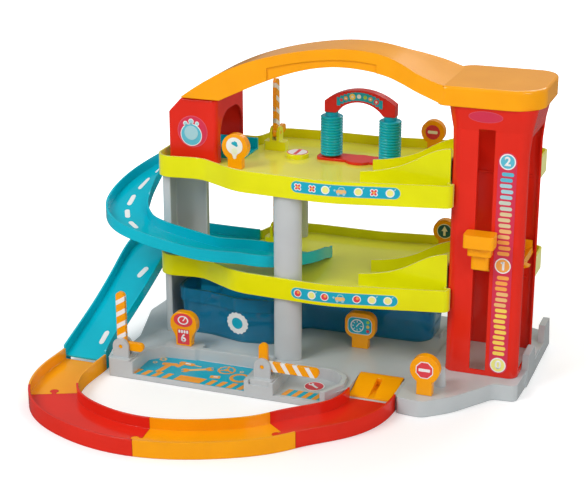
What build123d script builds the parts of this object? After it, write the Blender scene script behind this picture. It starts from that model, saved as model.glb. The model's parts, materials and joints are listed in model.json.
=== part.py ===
"""Toy parking garage with a hand lift: a moulded base, two decks, a lift tower and ramps.

All sizes are millimetres. X runs along the front of the base to the lift tower, Y runs
to the back and Z is up. The origin lies on the underside of the base, on the line that
the child sees as its middle, and every piece is drawn where it sits in the toy.
"""
from build123d import *
import os
from math import cos, radians, sin

os.makedirs("parts", exist_ok=True)

# ---------------------------------------------------------------- driving sizes
WALL = 3.0                # moulded wall of the decks, tower and ramps
SKIN = 2.5                # moulded wall of the base tray
SEAT_GAP = 0.3            # gap where one moulding stands beside another
PIVOT_GAP = 0.08          # radial play of a pin in its hole
SLIDE_GAP = 0.5           # side play of a sliding piece

PLATE_TOP = 20.0          # parking floor of the base
BAY_FLOOR = 8.0           # sunk floor of the two front bays
BORDER_TOP = 26.0         # raised border behind the bays
LOBE_TOP = 24.0           # raised stand of the lift tower
RIB = 2.0                 # stiffening ribs under the base and decks
RIB_PITCH = 62.0

DECK_PITCH = 154.0        # height from one storey to the next
DECK_BOTTOM = 118.0       # lower edge of the first deck's rim
RIM_HEIGHT = 32.0
DECK_FLOOR_UP = 18.0      # deck floor above the rim's lower edge
DECK_FLOOR = DECK_BOTTOM + DECK_FLOOR_UP
DECK_LEFT = -248.0
DECK_RIGHT_FRONT = 204.0

TOWER_X = (197.0, 303.0)
TOWER_Y = (86.0, 206.0)
TOWER_TOP = 416.0
TOWER_CORNER = 14.0
FLARE = 7.0               # how far the tower's mouth spreads under the helipad
FLARE_RIGHT = 10.0        # the same on its open side
FLARE_START = 350.0
KNOB_CLEAR = 2.5          # the knob's head runs clear of the spreading mouth
SLOT_X = (235.0, 258.0)
SLOT_Z = (31.0, 385.0)

LIFT_REST = 183.0         # platform floor at the first deck's level
LIFT_TRAVEL = 152.0
PLATFORM_FLOOR = 3.0

COLUMN_R = (21.0, 14.0)   # half width and half depth of the oval columns
COLUMN_WALL = 3.0
COLUMN_FRONT = (-31.0, 59.5)
COLUMN_REAR = (-95.0, 267.0)
BOSS_HEIGHT = 8.0

LANE = 64.0               # outside width of the raised car lanes
LANE_RISE = 15.0          # side wall above the lane floor
LANE_FLOOR = 2.5

TRACK = 70.0              # outside width of the ground track
TRACK_TOP = 24.0
TRACK_FLOOR = 8.0
TRACK_FLOOR_THICK = 2.5
TRACK_WALL = 3.0

PAD_X = (176.0, 320.0)
PAD_Y = (76.0, 220.0)
PAD_TOP = TOWER_TOP + 27.0
ARCH_Y = (100.0, 170.0)
ARCH_END_Y = (76.5, 200.0)  # the arch widens where it meets the helipad
ARCH_WALL = 4.0
ARCH_SKIN = 5.0

HOUSE_X = (-236.0, -158.0)
HOUSE_Y = (105.0, 214.0)
HOUSE_ROOF = 388.0

BIN_X = (-226.0, 158.0)
BIN_BACK = 262.0
BIN_TOP = 92.0
BIN_WALL = 2.2
BIN_TRAVEL = 150.0

SIGN_THICK = 12.0

ROLLER_R = 16.5
ROLLER_RIBS = 14
WASH_Y = 197.0
WASH_X = (-12.0, 78.0)
SPINDLE_R = 4.0

ARM_THICK = 6.0
ARM_WIDTH = 14.0
ARM_LENGTH = 78.0
TAB_LENGTH = 30.0
TRUNNION_R = 3.0
CHEEK = 4.0
LUG_SLOT = ARM_THICK + 1.0


# ---------------------------------------------------------------- small helpers
def block(x, y, z):
    """A plain block from three (low, high) pairs."""
    size = [pair[1] - pair[0] for pair in (x, y, z)]
    low = Pos(x[0], y[0], z[0])
    return low * Box(*size, align=(Align.MIN, Align.MIN, Align.MIN))


def outline(corners):
    """A flat face from (x, y, corner radius) corners."""
    points = [(x, y) for x, y, _ in corners]
    return make_face(FilletPolyline(*points, radius=[r for _, _, r in corners], close=True))


def slab(face, bottom, top):
    """A flat outline stood up between two heights."""
    return extrude(Pos(0, 0, bottom) * face, top - bottom)


def grown(face, amount):
    """The outline moved out, or in where the amount is negative."""
    return offset(face, amount)


def rod(centre, radius, bottom, top):
    """An upright round rod."""
    return Pos(centre[0], centre[1], bottom) * Cylinder(
        radius, top - bottom, align=(Align.CENTER, Align.CENTER, Align.MIN))


def oval(centre, shrink, bottom, top):
    """An upright oval rod of the columns' outline, smaller by the amount given."""
    face = Ellipse(COLUMN_R[0] - shrink, COLUMN_R[1] - shrink)
    return slab(Pos(centre[0], centre[1]) * face, bottom, top)


def rounded_block(x, y, z, radius):
    """A block with its four upright edges rounded."""
    corners = [(x[0], y[0], radius), (x[1], y[0], radius), (x[1], y[1], radius),
               (x[0], y[1], radius)]
    return slab(outline(corners), z[0], z[1])


def side_profile(face, y0, y1):
    """A face drawn in X and Z, stretched from one Y to another."""
    return extrude(Plane((0, y0, 0), x_dir=(1, 0, 0), z_dir=(0, -1, 0)) * face, -(y1 - y0))


def save(part, name):
    """Name a sub-part and write it."""
    part.label = name
    export_step(part, f"parts/{name}.step")
    print(f"{name:24s} solids {len(part.solids()):2d}  volume {part.volume / 1000:8.1f} cm3")


# ---------------------------------------------------------------- base tray
BAY_LEFT = [(-232, -60, 4), (-58, -60, 4), (-58, 30, 10), (-160, 30, 8), (-166, 26, 6),
            (-212, 22, 10), (-232, 4, 14)]
BAY_RIGHT = [(-14, -60, 4), (50, -60, 4), (73, -14, 6), (70, 10, 18), (50, 26, 18), (-14, 26, 6)]
BASE_RIGHT = 313.0
LANE_MOUTH_X = (84.0, 152.0)
MOUTH_LIP_Y = -17.7
LANE_MOUTH_Y = 44.0
LEFT_POST = (-254.0, -34.0)
MIDDLE_POST = (-34.0, -32.0)
POST_SIZE = (34.0, 30.0)
POST_TOP = 28.0
GROUND_PIVOT_Z = 45.0
LUG_R = 12.5
DECK_POST = (-106.0, 213.0)
DECK_POST_UP = 14.0
DECK_PIVOT_UP = 27.0
DECK_LUG_R = 9.5


def base_outline():
    """The main plate of the base, with the notch where the ground lane comes in."""
    return outline([
        (-271, -49, 4), (62, -49, 4), (LANE_MOUTH_X[0], MOUTH_LIP_Y, 3), (158.5, MOUTH_LIP_Y, 1),
        (160, -26, 5), (196, -30, 22), (232, 0, 90), (276, 62, 14), (309, 64, 10),
        (BASE_RIGHT, 165, 10), (BASE_RIGHT, 285, 16), (286, 294, 12), (-288, 290, 30),
        (-300, 160, 30),
        (-271, 60, 30)])


def lobe_outline():
    """The higher stand that carries the lift tower and swells out at the front."""
    return outline([
        (158.5, -10, 3), (160, -26, 5), (196, -30, 22), (232, 0, 90), (276, 62, 14), (309, 64, 10),
        (BASE_RIGHT - 1, 150, 10), (BASE_RIGHT - 1, 216, 10), (176, 216, 14), (176, 60, 14),
        (158, 40, 8)])


def pivot_lug(centre, z0, pivot_z, radius, along_y):
    """Two upright cheeks with round heads and a hole for an arm's trunnions."""
    half = LUG_SLOT / 2 + CHEEK
    head = Circle(radius)
    foot = Rectangle(2 * radius, pivot_z - z0, align=(Align.CENTER, Align.MAX))
    shape = make_face((head + foot).faces()[0].outer_wire())
    hole = Circle(TRUNNION_R + PIVOT_GAP)
    normal = (0, -1, 0) if along_y else (1, 0, 0)
    across = (1, 0, 0) if along_y else (0, 1, 0)
    plane = Plane((centre[0], centre[1], pivot_z), x_dir=across, z_dir=normal)
    lug = extrude(plane * shape, half, both=True) - extrude(plane * hole, half, both=True)
    slot = Box(2 * radius + 2, LUG_SLOT, pivot_z - z0 + radius)
    if not along_y:
        slot = Rot(0, 0, 90) * slot
    return lug - Pos(centre[0], centre[1], (z0 + pivot_z + radius) / 2 + 2) * slot


def barrier_post(centre, z0, z1, size, pivot_z, radius, along_y):
    """The footing block of a barrier with its forked lug on top."""
    x, y = centre
    w, d = size
    foot = rounded_block((x - w / 2, x + w / 2), (y - d / 2, y + d / 2), (z0, z1), 3)
    return foot + pivot_lug(centre, z1, pivot_z, radius, along_y)


def ear(x, y, z1, slope):
    """A side wall of the base that leans back at one end."""
    profile = Polyline((y[0], 0), (y[1], 0), (y[1] - slope, z1), (y[0] + slope, z1), close=True)
    plane = Plane((x[0], 0, 0), x_dir=(0, 1, 0), z_dir=(1, 0, 0))
    return extrude(plane * make_face(profile), x[1] - x[0])


def base_plate():
    """The grey tray: bays, borders, tower stand, posts, and ribs under its skin."""
    plate, lobe = base_outline(), lobe_outline()
    bays = [outline(BAY_LEFT), outline(BAY_RIGHT)]
    body = slab(plate, 0, PLATE_TOP) + slab(lobe, 0, LOBE_TOP)
    front_trim = block((-400, 400), (-49, 320), (0, 80))
    for bay in bays:
        body += slab(grown(bay, 7), 0, BORDER_TOP) & front_trim
    body += rounded_block((-216, -158), (26, 52), (0, BORDER_TOP), 6)
    body += rounded_block((-66, -46), (16, 46), (0, BORDER_TOP), 6)
    for bay in bays:
        body -= slab(bay, BAY_FLOOR, 60)
    body -= block((LANE_MOUTH_X[0] + 2, LANE_MOUTH_X[1]), (-40, LANE_MOUTH_Y), (BAY_FLOOR, 60))
    # hollow underside
    core = slab(grown(plate, -SKIN), 0, PLATE_TOP - SKIN) + slab(
        grown(lobe, -SKIN), 0, LOBE_TOP - SKIN)
    mouth = block((LANE_MOUTH_X[0] - 1, 155), (-20, LANE_MOUTH_Y + 3), (-1, 60))
    core -= mouth
    for bay in bays:
        core -= slab(grown(bay, SKIN), 0, 60)
    ribs = [block((x - RIB / 2, x + RIB / 2), (-60, 300), (0, LOBE_TOP))
            for x in [k * RIB_PITCH for k in range(-4, 6)]]
    ribs += [block((-310, BASE_RIGHT + 5), (y - RIB / 2, y + RIB / 2), (0, LOBE_TOP))
             for y in [k * RIB_PITCH for k in range(0, 5)]]
    body -= core
    grid = ribs[0]
    for rib in ribs[1:]:
        grid += rib
    body += grid & core
    # posts, ears and the boss inside the front column
    for centre in (LEFT_POST, MIDDLE_POST):
        body += barrier_post(centre, 0, POST_TOP, POST_SIZE, GROUND_PIVOT_Z, LUG_R, True)
    for y in ((118, 178), (236, 290)):
        body += ear((TOWER_X[1] + SEAT_GAP, BASE_RIGHT), y, 46, 10)
    body += Pos(206, 34, LOBE_TOP) * Cone(9, 7, 26, align=(Align.CENTER, Align.CENTER, Align.MIN))
    body += oval(COLUMN_FRONT, COLUMN_WALL + SEAT_GAP, PLATE_TOP, PLATE_TOP + BOSS_HEIGHT)
    # low rails beside the storage bin
    for x in (BIN_X[0] - 5, BIN_X[1] + 2):
        body += block((x, x + 3), (205, 280), (PLATE_TOP - 1, PLATE_TOP + 7))
    return body


# ---------------------------------------------------------------- decks
DECK_EDGE = [
    (DECK_LEFT, 74, 24), (-176, 84, 46), (-106, 45, 90), (36, 37, 240), (DECK_RIGHT_FRONT, 72, 10),
    (DECK_RIGHT_FRONT, TOWER_Y[0] - SEAT_GAP, 1), (TOWER_X[0] - SEAT_GAP, TOWER_Y[0] - SEAT_GAP, 1),
    (TOWER_X[0] - SEAT_GAP, TOWER_Y[1] + SEAT_GAP, 1), (291, TOWER_Y[1] + SEAT_GAP, 2),
    (291, 312, 12), (130, 303, 60), (40, 290, 60), (-60, 291, 60), (-124, 286, 24),
    (-140, 226, 12), (DECK_LEFT, 226, 20)]
LIFT_RAMP_Y = (90.0, 155.0)
LIFT_RAMP_X = (66.0, TOWER_X[0] - SEAT_GAP)
LIFT_RAMP_RISE = LIFT_REST - DECK_FLOOR
UPPER_LANE_Y = 172.0
LOWER_LANE_Y = 190.0


def lift_ramp(floor):
    """The moulded ramp between a deck floor and the lift, with its two S-curved walls."""
    x0, x1 = LIFT_RAMP_X
    mid = (x0 + x1) / 2 + 8
    rise = LIFT_RAMP_RISE
    low, high = floor + 17, floor + 62
    wall_top = Spline((x0, low), (mid, (low + high) / 2 - 2), (x1, high),
                      tangents=[(1, 0.1), (1, 0.1)])
    wall = make_face(Curve() + [wall_top, Polyline((x1, high), (x1, floor), (x0, floor), (x0, low))])
    road_top = Spline((x0 + 24, floor), (mid + 14, floor + rise * 0.52), (x1, floor + rise),
                      tangents=[(1, 0.15), (1, 0.1)])
    road = make_face(Curve() + [road_top, Polyline((x1, floor + rise), (x1, floor - 0.5),
                                                   (x0 + 24, floor - 0.5), (x0 + 24, floor))])
    y0, y1 = LIFT_RAMP_Y
    ramp = side_profile(wall, y0, y0 + WALL) + side_profile(wall, y1 - WALL, y1)
    ramp += side_profile(road, y0 + WALL / 2, y1 - WALL / 2)
    under = Pos(0, 0, -WALL) * side_profile(road, y0 + WALL, y1 - WALL)
    return ramp - (under & block((x0 + 40, x1 + 1), (y0, y1), (floor, floor + rise)))


def deck(level):
    """One storey: a rimmed tray with ribs, bosses, the lift ramp and a barrier post."""
    bottom = DECK_BOTTOM + level * DECK_PITCH
    floor = bottom + DECK_FLOOR_UP
    top = bottom + RIM_HEIGHT
    edge = outline(DECK_EDGE)
    body = extrude(Pos(0, 0, bottom) * edge, RIM_HEIGHT)
    inner = grown(edge, -WALL)
    body -= slab(inner, floor, top + 1)
    body -= slab(inner, bottom - 1, floor - WALL)
    # ribs under the floor
    under = slab(inner, floor - WALL - 7, floor - WALL)
    grid = None
    for k in range(-3, 4):
        rib = block((k * RIB_PITCH + 8, k * RIB_PITCH + 8 + RIB), (30, 320), (bottom, floor))
        grid = rib if grid is None else grid + rib
    for k in range(2, 5):
        grid += block((-260, 300), (k * RIB_PITCH - 6, k * RIB_PITCH - 6 + RIB), (bottom, floor))
    clear = oval(COLUMN_FRONT, -SEAT_GAP, bottom - 1, floor)
    if level == 1:
        clear += oval(COLUMN_REAR, -SEAT_GAP, bottom - 1, floor)
    clear += block((DECK_LEFT, -178), (80, 206), (bottom - 1, floor))
    body += (grid & under) - clear
    # the rim is cut down where the two teal lanes leave the deck
    lane_y = UPPER_LANE_Y if level == 1 else LOWER_LANE_Y
    gate = (lane_y - LANE / 2 - (2 if level else 12), lane_y + LANE / 2 + (2 if level else 5))
    body -= block((DECK_LEFT - 5, DECK_LEFT + 10), gate, (floor, top + 1))
    if level == 1:
        body -= block((DECK_LEFT - 5, HOUSE_X[0] + 38), gate, (bottom - 1, top + 1))
    else:
        body -= block((DECK_LEFT - 5, -136), (gate[1] - 8, 230), (floor, top + 1))
    # bosses that the columns plug on to
    inset = COLUMN_WALL + SEAT_GAP
    body += oval(COLUMN_FRONT, inset, floor - WALL - BOSS_HEIGHT, floor - WALL)
    if level == 0:
        body += oval(COLUMN_FRONT, inset, floor, floor + BOSS_HEIGHT)
        body += oval(COLUMN_REAR, inset, floor, floor + BOSS_HEIGHT)
    else:
        body += oval(COLUMN_REAR, inset, floor - WALL - BOSS_HEIGHT, floor - WALL)
    body += lift_ramp(floor)
    body += barrier_post(DECK_POST, floor, floor + DECK_POST_UP, (34, 18),
                         floor + DECK_PIVOT_UP, DECK_LUG_R, False)
    if level == 1:
        pad = rod((-62, 186), 18, floor, floor + 7)
        body += fillet(pad.edges().sort_by(Axis.Z)[-1], 1.5)
    else:
        body += rounded_block((-176, -136), (132, 148), (floor, floor + 9), 4)
    return body


# ---------------------------------------------------------------- columns
def oval_column(centre, bottom, top):
    """An oval tube between two storeys."""
    return oval(centre, 0, bottom, top) - oval(centre, COLUMN_WALL, bottom, top)


def channel_column(path, wall, bottom, top):
    """An upright open channel that follows a bent line in plan."""
    line = FilletPolyline(*path, radius=5)
    strip = offset(line, wall / 2, side=Side.BOTH)
    return slab(make_face(strip), bottom, top)


# ---------------------------------------------------------------- lift tower
def tower_shell():
    """The whole tower as one ring, flared at its mouth, with its windows cut."""
    x, y = TOWER_X, TOWER_Y

    def ring(grow, bottom, top):
        return rounded_block((x[0] - grow, x[1] + grow), (y[0] - grow, y[1] + grow), (bottom, top),
                             TOWER_CORNER + grow)

    def mouth(grow, share, front_share, z):
        left, right = grow + share * FLARE, grow + share * FLARE_RIGHT
        front, corner = grow + front_share * FLARE, TOWER_CORNER + grow + share * FLARE
        return Pos(0, 0, z) * outline([
            (x[0] - left, y[0] - front, corner), (x[1] + right, y[0] - front, corner),
            (x[1] + right, y[1] + left, corner), (x[0] - left, y[1] + left, corner)])

    def flare(grow):
        middle = (FLARE_START + TOWER_TOP) / 2
        return loft([mouth(grow, 0, 0, FLARE_START), mouth(grow, 0.3, 0, middle),
                     mouth(grow, 1, 1, TOWER_TOP)], ruled=True)

    shell = ring(0, LOBE_TOP, FLARE_START) + flare(0)
    shell -= ring(-WALL, LOBE_TOP, FLARE_START) + flare(-WALL)
    # slot for the lift's handle
    shell -= block(SLOT_X, (y[0] - 10, y[0] + 12), SLOT_Z)
    # open right side, between the front post and the rear post
    shell -= block((x[1] - 14, x[1] + 20), (y[0] + 16, y[1] - 10), (LOBE_TOP + 6, FLARE_START + 26))
    # a way in from each storey on the left side
    for sill in (LOBE_TOP + 4, DECK_FLOOR + LIFT_RAMP_RISE, DECK_FLOOR + DECK_PITCH + LIFT_RAMP_RISE):
        top = min(sill + 92, TOWER_TOP - 8)
        shell -= block((x[0] - 12, x[0] + 12), (LIFT_RAMP_Y[0] + WALL, y[1] - 14), (sill, top))
    return shell


TOWER_SPLIT = 139.0


def tower_front():
    """The front half of the tower: the panel with the slot and the corner posts."""
    return tower_shell() & block((150, 350), (60, TOWER_SPLIT), (0, 500))


def tower_rear():
    """The rear half of the tower, with a rib at each storey on its inner face."""
    half = tower_shell() & block((150, 350), (TOWER_SPLIT, 240), (0, 500))
    for level in range(2):
        z = DECK_FLOOR + level * DECK_PITCH
        half += block((TOWER_X[0] + 14, TOWER_X[1] - 14), (TOWER_Y[1] - WALL - 2.2, TOWER_Y[1] - WALL),
                      (z, z + 3))
    return half


# ---------------------------------------------------------------- lift
PLATFORM_X = (TOWER_X[0] + WALL + 1.5, TOWER_X[1] - WALL - 1.5)
PLATFORM_Y = (TOWER_Y[0] + WALL + 3.0, TOWER_Y[1] - WALL - 5.0)


def lift_platform():
    """The car tray inside the tower, with side walls, a lip and a pointer on the open side."""
    x, y, z = PLATFORM_X, PLATFORM_Y, LIFT_REST
    tray = rounded_block(x, y, (z - PLATFORM_FLOOR, z + 14), 9)
    tray -= block((x[0] - 1, x[1] + 1), (y[0] + 3, y[1] - 3), (z, z + 20))
    lip = make_face(Polyline((x[1] - 14, z - 1), (x[1], z - 1), (x[1], z + 9), close=True))
    tray += side_profile(lip, y[0] + 14, y[1] - 14)
    # a wedge that shows in the tower's open side and tells a child where the platform is
    wedge = make_face(Polyline((x[1] - 12, z + 14), (x[1] + 11, z + 5), (x[1] - 12, z - 3),
                               close=True))
    return tray + side_profile(wedge, TOWER_Y[0] + 21, TOWER_Y[0] + 33)


def lift_knob():
    """The handle outside the slot: a broad head on a stepped stem, and its shank."""
    middle = sum(SLOT_X) / 2
    front = TOWER_Y[0] - KNOB_CLEAR
    z = LIFT_REST
    steps = [(43, 27, z + 40, z + 59), (33, 20, z + 27, z + 40), (24, 14, z + 6, z + 27)]
    body = None
    for width, deep, low, high in steps:
        step = rounded_block((middle - width / 2, middle + width / 2), (front - deep, front),
                             (low, high), 5)
        body = step if body is None else body + step
    shank = (SLOT_X[0] + SLIDE_GAP, SLOT_X[1] - SLIDE_GAP)
    body += block(shank, (front - 1, PLATFORM_Y[0]), (z + 1, z + 40))
    return body


# ---------------------------------------------------------------- helipad and carrying arch
def arch_profile():
    """The side view of the arch from the tunnel house to the helipad."""
    top = Spline((-212, HOUSE_ROOF + 1), (-126, 440), (-19, 471), (60, 477), (127, 464),
                 (186, PAD_TOP), tangents=[(1, 0.75), (1, -0.28)])
    low = Spline((186, TOWER_TOP), (88, 446), (20, 450), (-73, 425), (-152, HOUSE_ROOF))
    ends = [Line((186, PAD_TOP), (186, TOWER_TOP)),
            Polyline((-152, HOUSE_ROOF), (-212, HOUSE_ROOF), (-212, HOUSE_ROOF + 1))]
    return make_face(Curve() + [top, ends[0], low, ends[1]])


def handle_arch():
    """The helipad with the arch that is both a slide for cars and the carrying handle."""
    y0, y1 = ARCH_Y
    z0, z1 = ARCH_END_Y
    plan = outline([(-230, y0, 0.5), (100, y0, 60), (150, z0, 50), (200, z0, 0.5), (200, z1, 0.5),
                    (160, z1, 40), (110, y1, 50), (-230, y1, 0.5)])
    profile = side_profile(arch_profile(), z0 - 1, z1 + 1)
    arch = profile & slab(plan, 300, 500)
    shape = outline([(PAD_X[0], PAD_Y[0], 14), (PAD_X[1], PAD_Y[0], 44), (PAD_X[1], PAD_Y[1], 30),
                     (PAD_X[0], PAD_Y[1], 26)])
    pad = slab(shape, TOWER_TOP, PAD_TOP)
    pad = fillet(pad.edges().group_by(Axis.Z)[-1], 4.0)
    body = arch + pad
    hollow = Pos(0, 0, -ARCH_SKIN) * profile & slab(grown(plan, -ARCH_WALL), 300, 500)
    hollow &= block((HOUSE_X[1] + 8, PAD_X[0] + 2), (0, 300), (HOUSE_ROOF - 10, 500))
    well = slab(grown(shape, -WALL), TOWER_TOP - 1, PAD_TOP - ARCH_SKIN)
    seat = rounded_block((TOWER_X[0] - FLARE - 1, TOWER_X[1] + FLARE_RIGHT + 1),
                         (TOWER_Y[0] - FLARE, TOWER_Y[1] + FLARE), (TOWER_TOP - 1, PAD_TOP), 20)
    seat -= rounded_block((TOWER_X[0] - 2, TOWER_X[1] + 2), (TOWER_Y[0] - 2, TOWER_Y[1] + 2),
                          (TOWER_TOP - 1, PAD_TOP), 14)
    body -= hollow
    body -= well - seat
    # grip recess under the crown, on both faces
    grip = Pos(0, 0, -30) * side_profile(arch_profile(), y0 - 1, y0 + 2)
    grip &= block((-78, 84), (0, 300), (300, 500))
    body -= Pos(0, 0, 14) * grip
    body -= Pos(0, y1 - y0 - 1, 14) * grip
    return body


# ---------------------------------------------------------------- tunnel house
def tunnel_house():
    """The house over the start of the upper ramp, with an arched way through along X."""
    floor = DECK_FLOOR + DECK_PITCH
    x, y = HOUSE_X, HOUSE_Y
    profile = Polyline((x[0], floor), (x[1], floor), (x[1], HOUSE_ROOF), (-212, HOUSE_ROOF),
                       (x[0], HOUSE_ROOF - 26), close=True)
    shape = side_profile(make_face(profile), y[0], y[1])
    shape = fillet(shape.edges().filter_by(Axis.Z), 7)
    shape = chamfer(shape.edges().group_by(Axis.Z)[-1], 4)
    inner = Polyline((x[0] + WALL, floor), (x[1] - WALL, floor), (x[1] - WALL, HOUSE_ROOF - WALL),
                     (-211, HOUSE_ROOF - WALL), (x[0] + WALL, HOUSE_ROOF - 26 - 2), close=True)
    hollow = side_profile(make_face(inner), y[0] + 5, y[1] - 5) & block(
        (x[0], x[1]), y, (floor - 1, HOUSE_ROOF - 10))
    way_y = (119.0, 207.0)
    rise = HOUSE_ROOF - floor - 24
    radius = 0.46 * rise
    spring = floor + rise - radius
    way = block((x[0] - 5, x[1] + 5), way_y, (floor - 1, spring))
    crown = Plane((x[0] - 5, 0, 0), x_dir=(0, 1, 0), z_dir=(1, 0, 0)) * make_face(
        FilletPolyline((way_y[0], spring - 1), (way_y[1], spring - 1), (way_y[1], spring + radius),
                       (way_y[0], spring + radius), radius=[0.5, 0.5, radius, radius], close=True))
    way += extrude(crown, x[1] - x[0] + 10)
    return shape - hollow - way


# ---------------------------------------------------------------- car lanes
def lane_section(width, wall, rise, drop, floor_thick):
    """The cross-section of a lane: floor top at zero, side walls above and below it."""
    h = width / 2
    points = [(-h, rise), (-h, -drop)]
    if drop > floor_thick:
        points += [(-h + wall, -drop), (-h + wall, -floor_thick), (h - wall, -floor_thick),
                   (h - wall, -drop)]
    points += [(h, -drop), (h, rise), (h - wall, rise), (h - wall, 0), (-h + wall, 0),
               (-h + wall, rise)]
    return make_face(Polyline(*points, close=True))


def swept_lane(path, section):
    """Run a lane's section along a path and keep its floor level across."""
    start = path @ 0
    ahead = path % 0
    left = Vector(-ahead.Y, ahead.X, 0).normalized()
    plane = Plane(origin=start, x_dir=left, z_dir=Vector(ahead.X, ahead.Y, 0))
    guide = path.moved(Location((0, 0, 100)))
    return sweep(plane * section, path=path, binormal=guide)


def arc_points(centre, radius, start, turn, z_list):
    """Points round an arc in plan, one for each height given, its start left out."""
    n = len(z_list)
    spots = []
    for k, z in enumerate(z_list, start=1):
        a = radians(start + turn * k / n)
        spots.append((centre[0] + radius * cos(a), centre[1] + radius * sin(a), z))
    return spots


UPPER_TURN = (-250.0, 115.5)
UPPER_RETURN_Y = 59.0
LANDING_TURN = (-102.0, 148.0)
LANDING_RADIUS = 63.0
LOWER_TURN = (-246.0, 146.0)
LOWER_FOOT = (-318.0, -31.7)
LOWER_FOOT_Z = 14.0
LANE_WALL = 3.0


def upper_ramp_path():
    """Deck two, through the house, round to the front, and down on to deck one."""
    high = DECK_FLOOR + DECK_PITCH + LANE_FLOOR + SEAT_GAP
    low = DECK_FLOOR + LANE_FLOOR + SEAT_GAP
    radius = UPPER_LANE_Y - UPPER_TURN[1]
    points = [(-132, UPPER_LANE_Y, high), (-180, UPPER_LANE_Y, high), (-214, UPPER_LANE_Y, high - 1),
              (-232, UPPER_LANE_Y, high - 5.5), (UPPER_TURN[0], UPPER_LANE_Y, high - 13)]
    points += arc_points(UPPER_TURN, radius, 90, 180, [262, 244, 228, 214, 205, 198, 192, 186])
    points += [(-200, UPPER_RETURN_Y - 1, 176), (-152, UPPER_RETURN_Y + 3, 168)]
    radius = LANDING_RADIUS
    points += arc_points(LANDING_TURN, radius, -110, 110, [161, 159, 157, 154, 149])
    points += [(LANDING_TURN[0] + radius, LANDING_TURN[1] + 24, low + 4),
               (LANDING_TURN[0] + radius, LANDING_TURN[1] + 42, low)]
    return Spline(*points, tangents=[(-1, 0, 0), (0, 1, 0)])


def upper_ramp():
    """The long curved ramp from the second deck down to the first."""
    section = lane_section(LANE, LANE_WALL, LANE_RISE, LANE_FLOOR, LANE_FLOOR)
    return swept_lane(upper_ramp_path(), section)


def lower_ramp_path():
    """Deck one, round the corner at the back, and straight down to the ground track."""
    high = DECK_FLOOR + LANE_FLOOR + SEAT_GAP
    radius = LOWER_LANE_Y - LOWER_TURN[1]
    side = LOWER_TURN[0] - radius
    points = [(x, LOWER_LANE_Y, high) for x in (-138, -190, LOWER_TURN[0])]
    points += arc_points(LOWER_TURN, radius, 90, 90, [high - 0.5, high - 4, high - 11])
    points += [(side - 3, 106, 108), (-305, 36, 60), (*LOWER_FOOT, LOWER_FOOT_Z)]
    return Spline(*points, tangents=[(-1, 0, 0), (0, -1, -0.55)])


def lower_ramp():
    """The ramp from the first deck down to the track, with two feet at its lower end."""
    section = lane_section(LANE + 6, LANE_WALL, LANE_RISE, LANE_FLOOR, LANE_FLOOR)
    ramp = swept_lane(lower_ramp_path(), section)
    x, y = LOWER_FOOT
    for side in (-1, 1):
        edge = side * (LANE / 2 + 3)
        foot_x = sorted((x + edge, x + edge - side * LANE_WALL))
        ramp += block(foot_x, (y, y + 14), (0, LOWER_FOOT_Z))
    return ramp


# ---------------------------------------------------------------- ground track
TRACK_POINTS = [(-318, -32), (-318, -112), (-288, -179), (-222, -220), (-134, -234), (-48, -211),
                (37, -154), (92, -92), (122, -18)]
TRACK_NAMES = ["track_piece_orange_left", "track_piece_red_left", "track_piece_orange_front",
               "track_piece_red_right"]
TRACK_JOINTS = [0.0, 0.17, 0.47, 0.745, 1.0]
TAB_R = 6.0
TAB_NECK = 6.0
TAB_REACH = 9.0


def track_path():
    """The middle line of the ground track, from the ramp's foot round to the lane mouth."""
    return Spline(*[(x, y, TRACK_FLOOR) for x, y in TRACK_POINTS], tangents=[(0, -1, 0), (0, 1, 0)])


def track_stretch(path, low, high):
    """The middle line of one track piece, drawn afresh between two stations."""
    spots = [path @ low, path @ ((low + high) / 2), path @ high]
    return Spline(*spots, tangents=[path % low, path % high])


def track_tab(path, station, grow):
    """A puzzle tab that points back over a joint, or its larger cut-out."""
    spot = path @ station
    ahead = path % station
    plane = Plane(origin=(spot.X, spot.Y, TRACK_FLOOR - TRACK_FLOOR_THICK),
                  x_dir=(-ahead.X, -ahead.Y, 0), z_dir=(0, 0, 1))
    neck = Pos(TAB_REACH / 2 - 1, 0) * Rectangle(TAB_REACH + 2, TAB_NECK + 2 * grow)
    head = Pos(TAB_REACH, 0) * Circle(TAB_R + grow)
    return extrude(plane * (neck + head), TRACK_FLOOR_THICK)


def track_pieces():
    """The four track pieces, each locked into the one before it by a puzzle tab."""
    path = track_path()
    section = lane_section(TRACK, TRACK_WALL, TRACK_TOP - TRACK_FLOOR, TRACK_FLOOR, TRACK_FLOOR_THICK)
    pieces = {}
    for k, name in enumerate(TRACK_NAMES):
        half_gap = SEAT_GAP / 2 / path.length
        low = TRACK_JOINTS[k] + (half_gap if k else 0)
        high = TRACK_JOINTS[k + 1] - (half_gap if k < 3 else 0)
        piece = swept_lane(track_stretch(path, low, high), section)
        if k:
            piece += track_tab(path, TRACK_JOINTS[k], 0)
        if k < 3:
            piece -= track_tab(path, TRACK_JOINTS[k + 1], SEAT_GAP)
        pieces[name] = piece
    return pieces


def entry_ramp():
    """The orange ramp from the track to the parking floor, with a gap down its middle."""
    x0, x1 = LANE_MOUTH_X[0] + 3, 152 - 1
    y0, y1 = -13.0, LANE_MOUTH_Y - SEAT_GAP
    profile = Polyline((y0, BAY_FLOOR), (y1, BAY_FLOOR), (y1, PLATE_TOP + 2), (y1 - 6, PLATE_TOP + 2),
                       (y0, BAY_FLOOR + 2.5), close=True)
    plane = Plane((x0, 0, 0), x_dir=(0, 1, 0), z_dir=(1, 0, 0))
    ramp = extrude(plane * make_face(profile), x1 - x0)
    middle = (x0 + x1) / 2
    return ramp - block((middle - 4, middle + 4), (y0 - 1, y1 - 12), (BAY_FLOOR + 2, 60))


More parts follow.
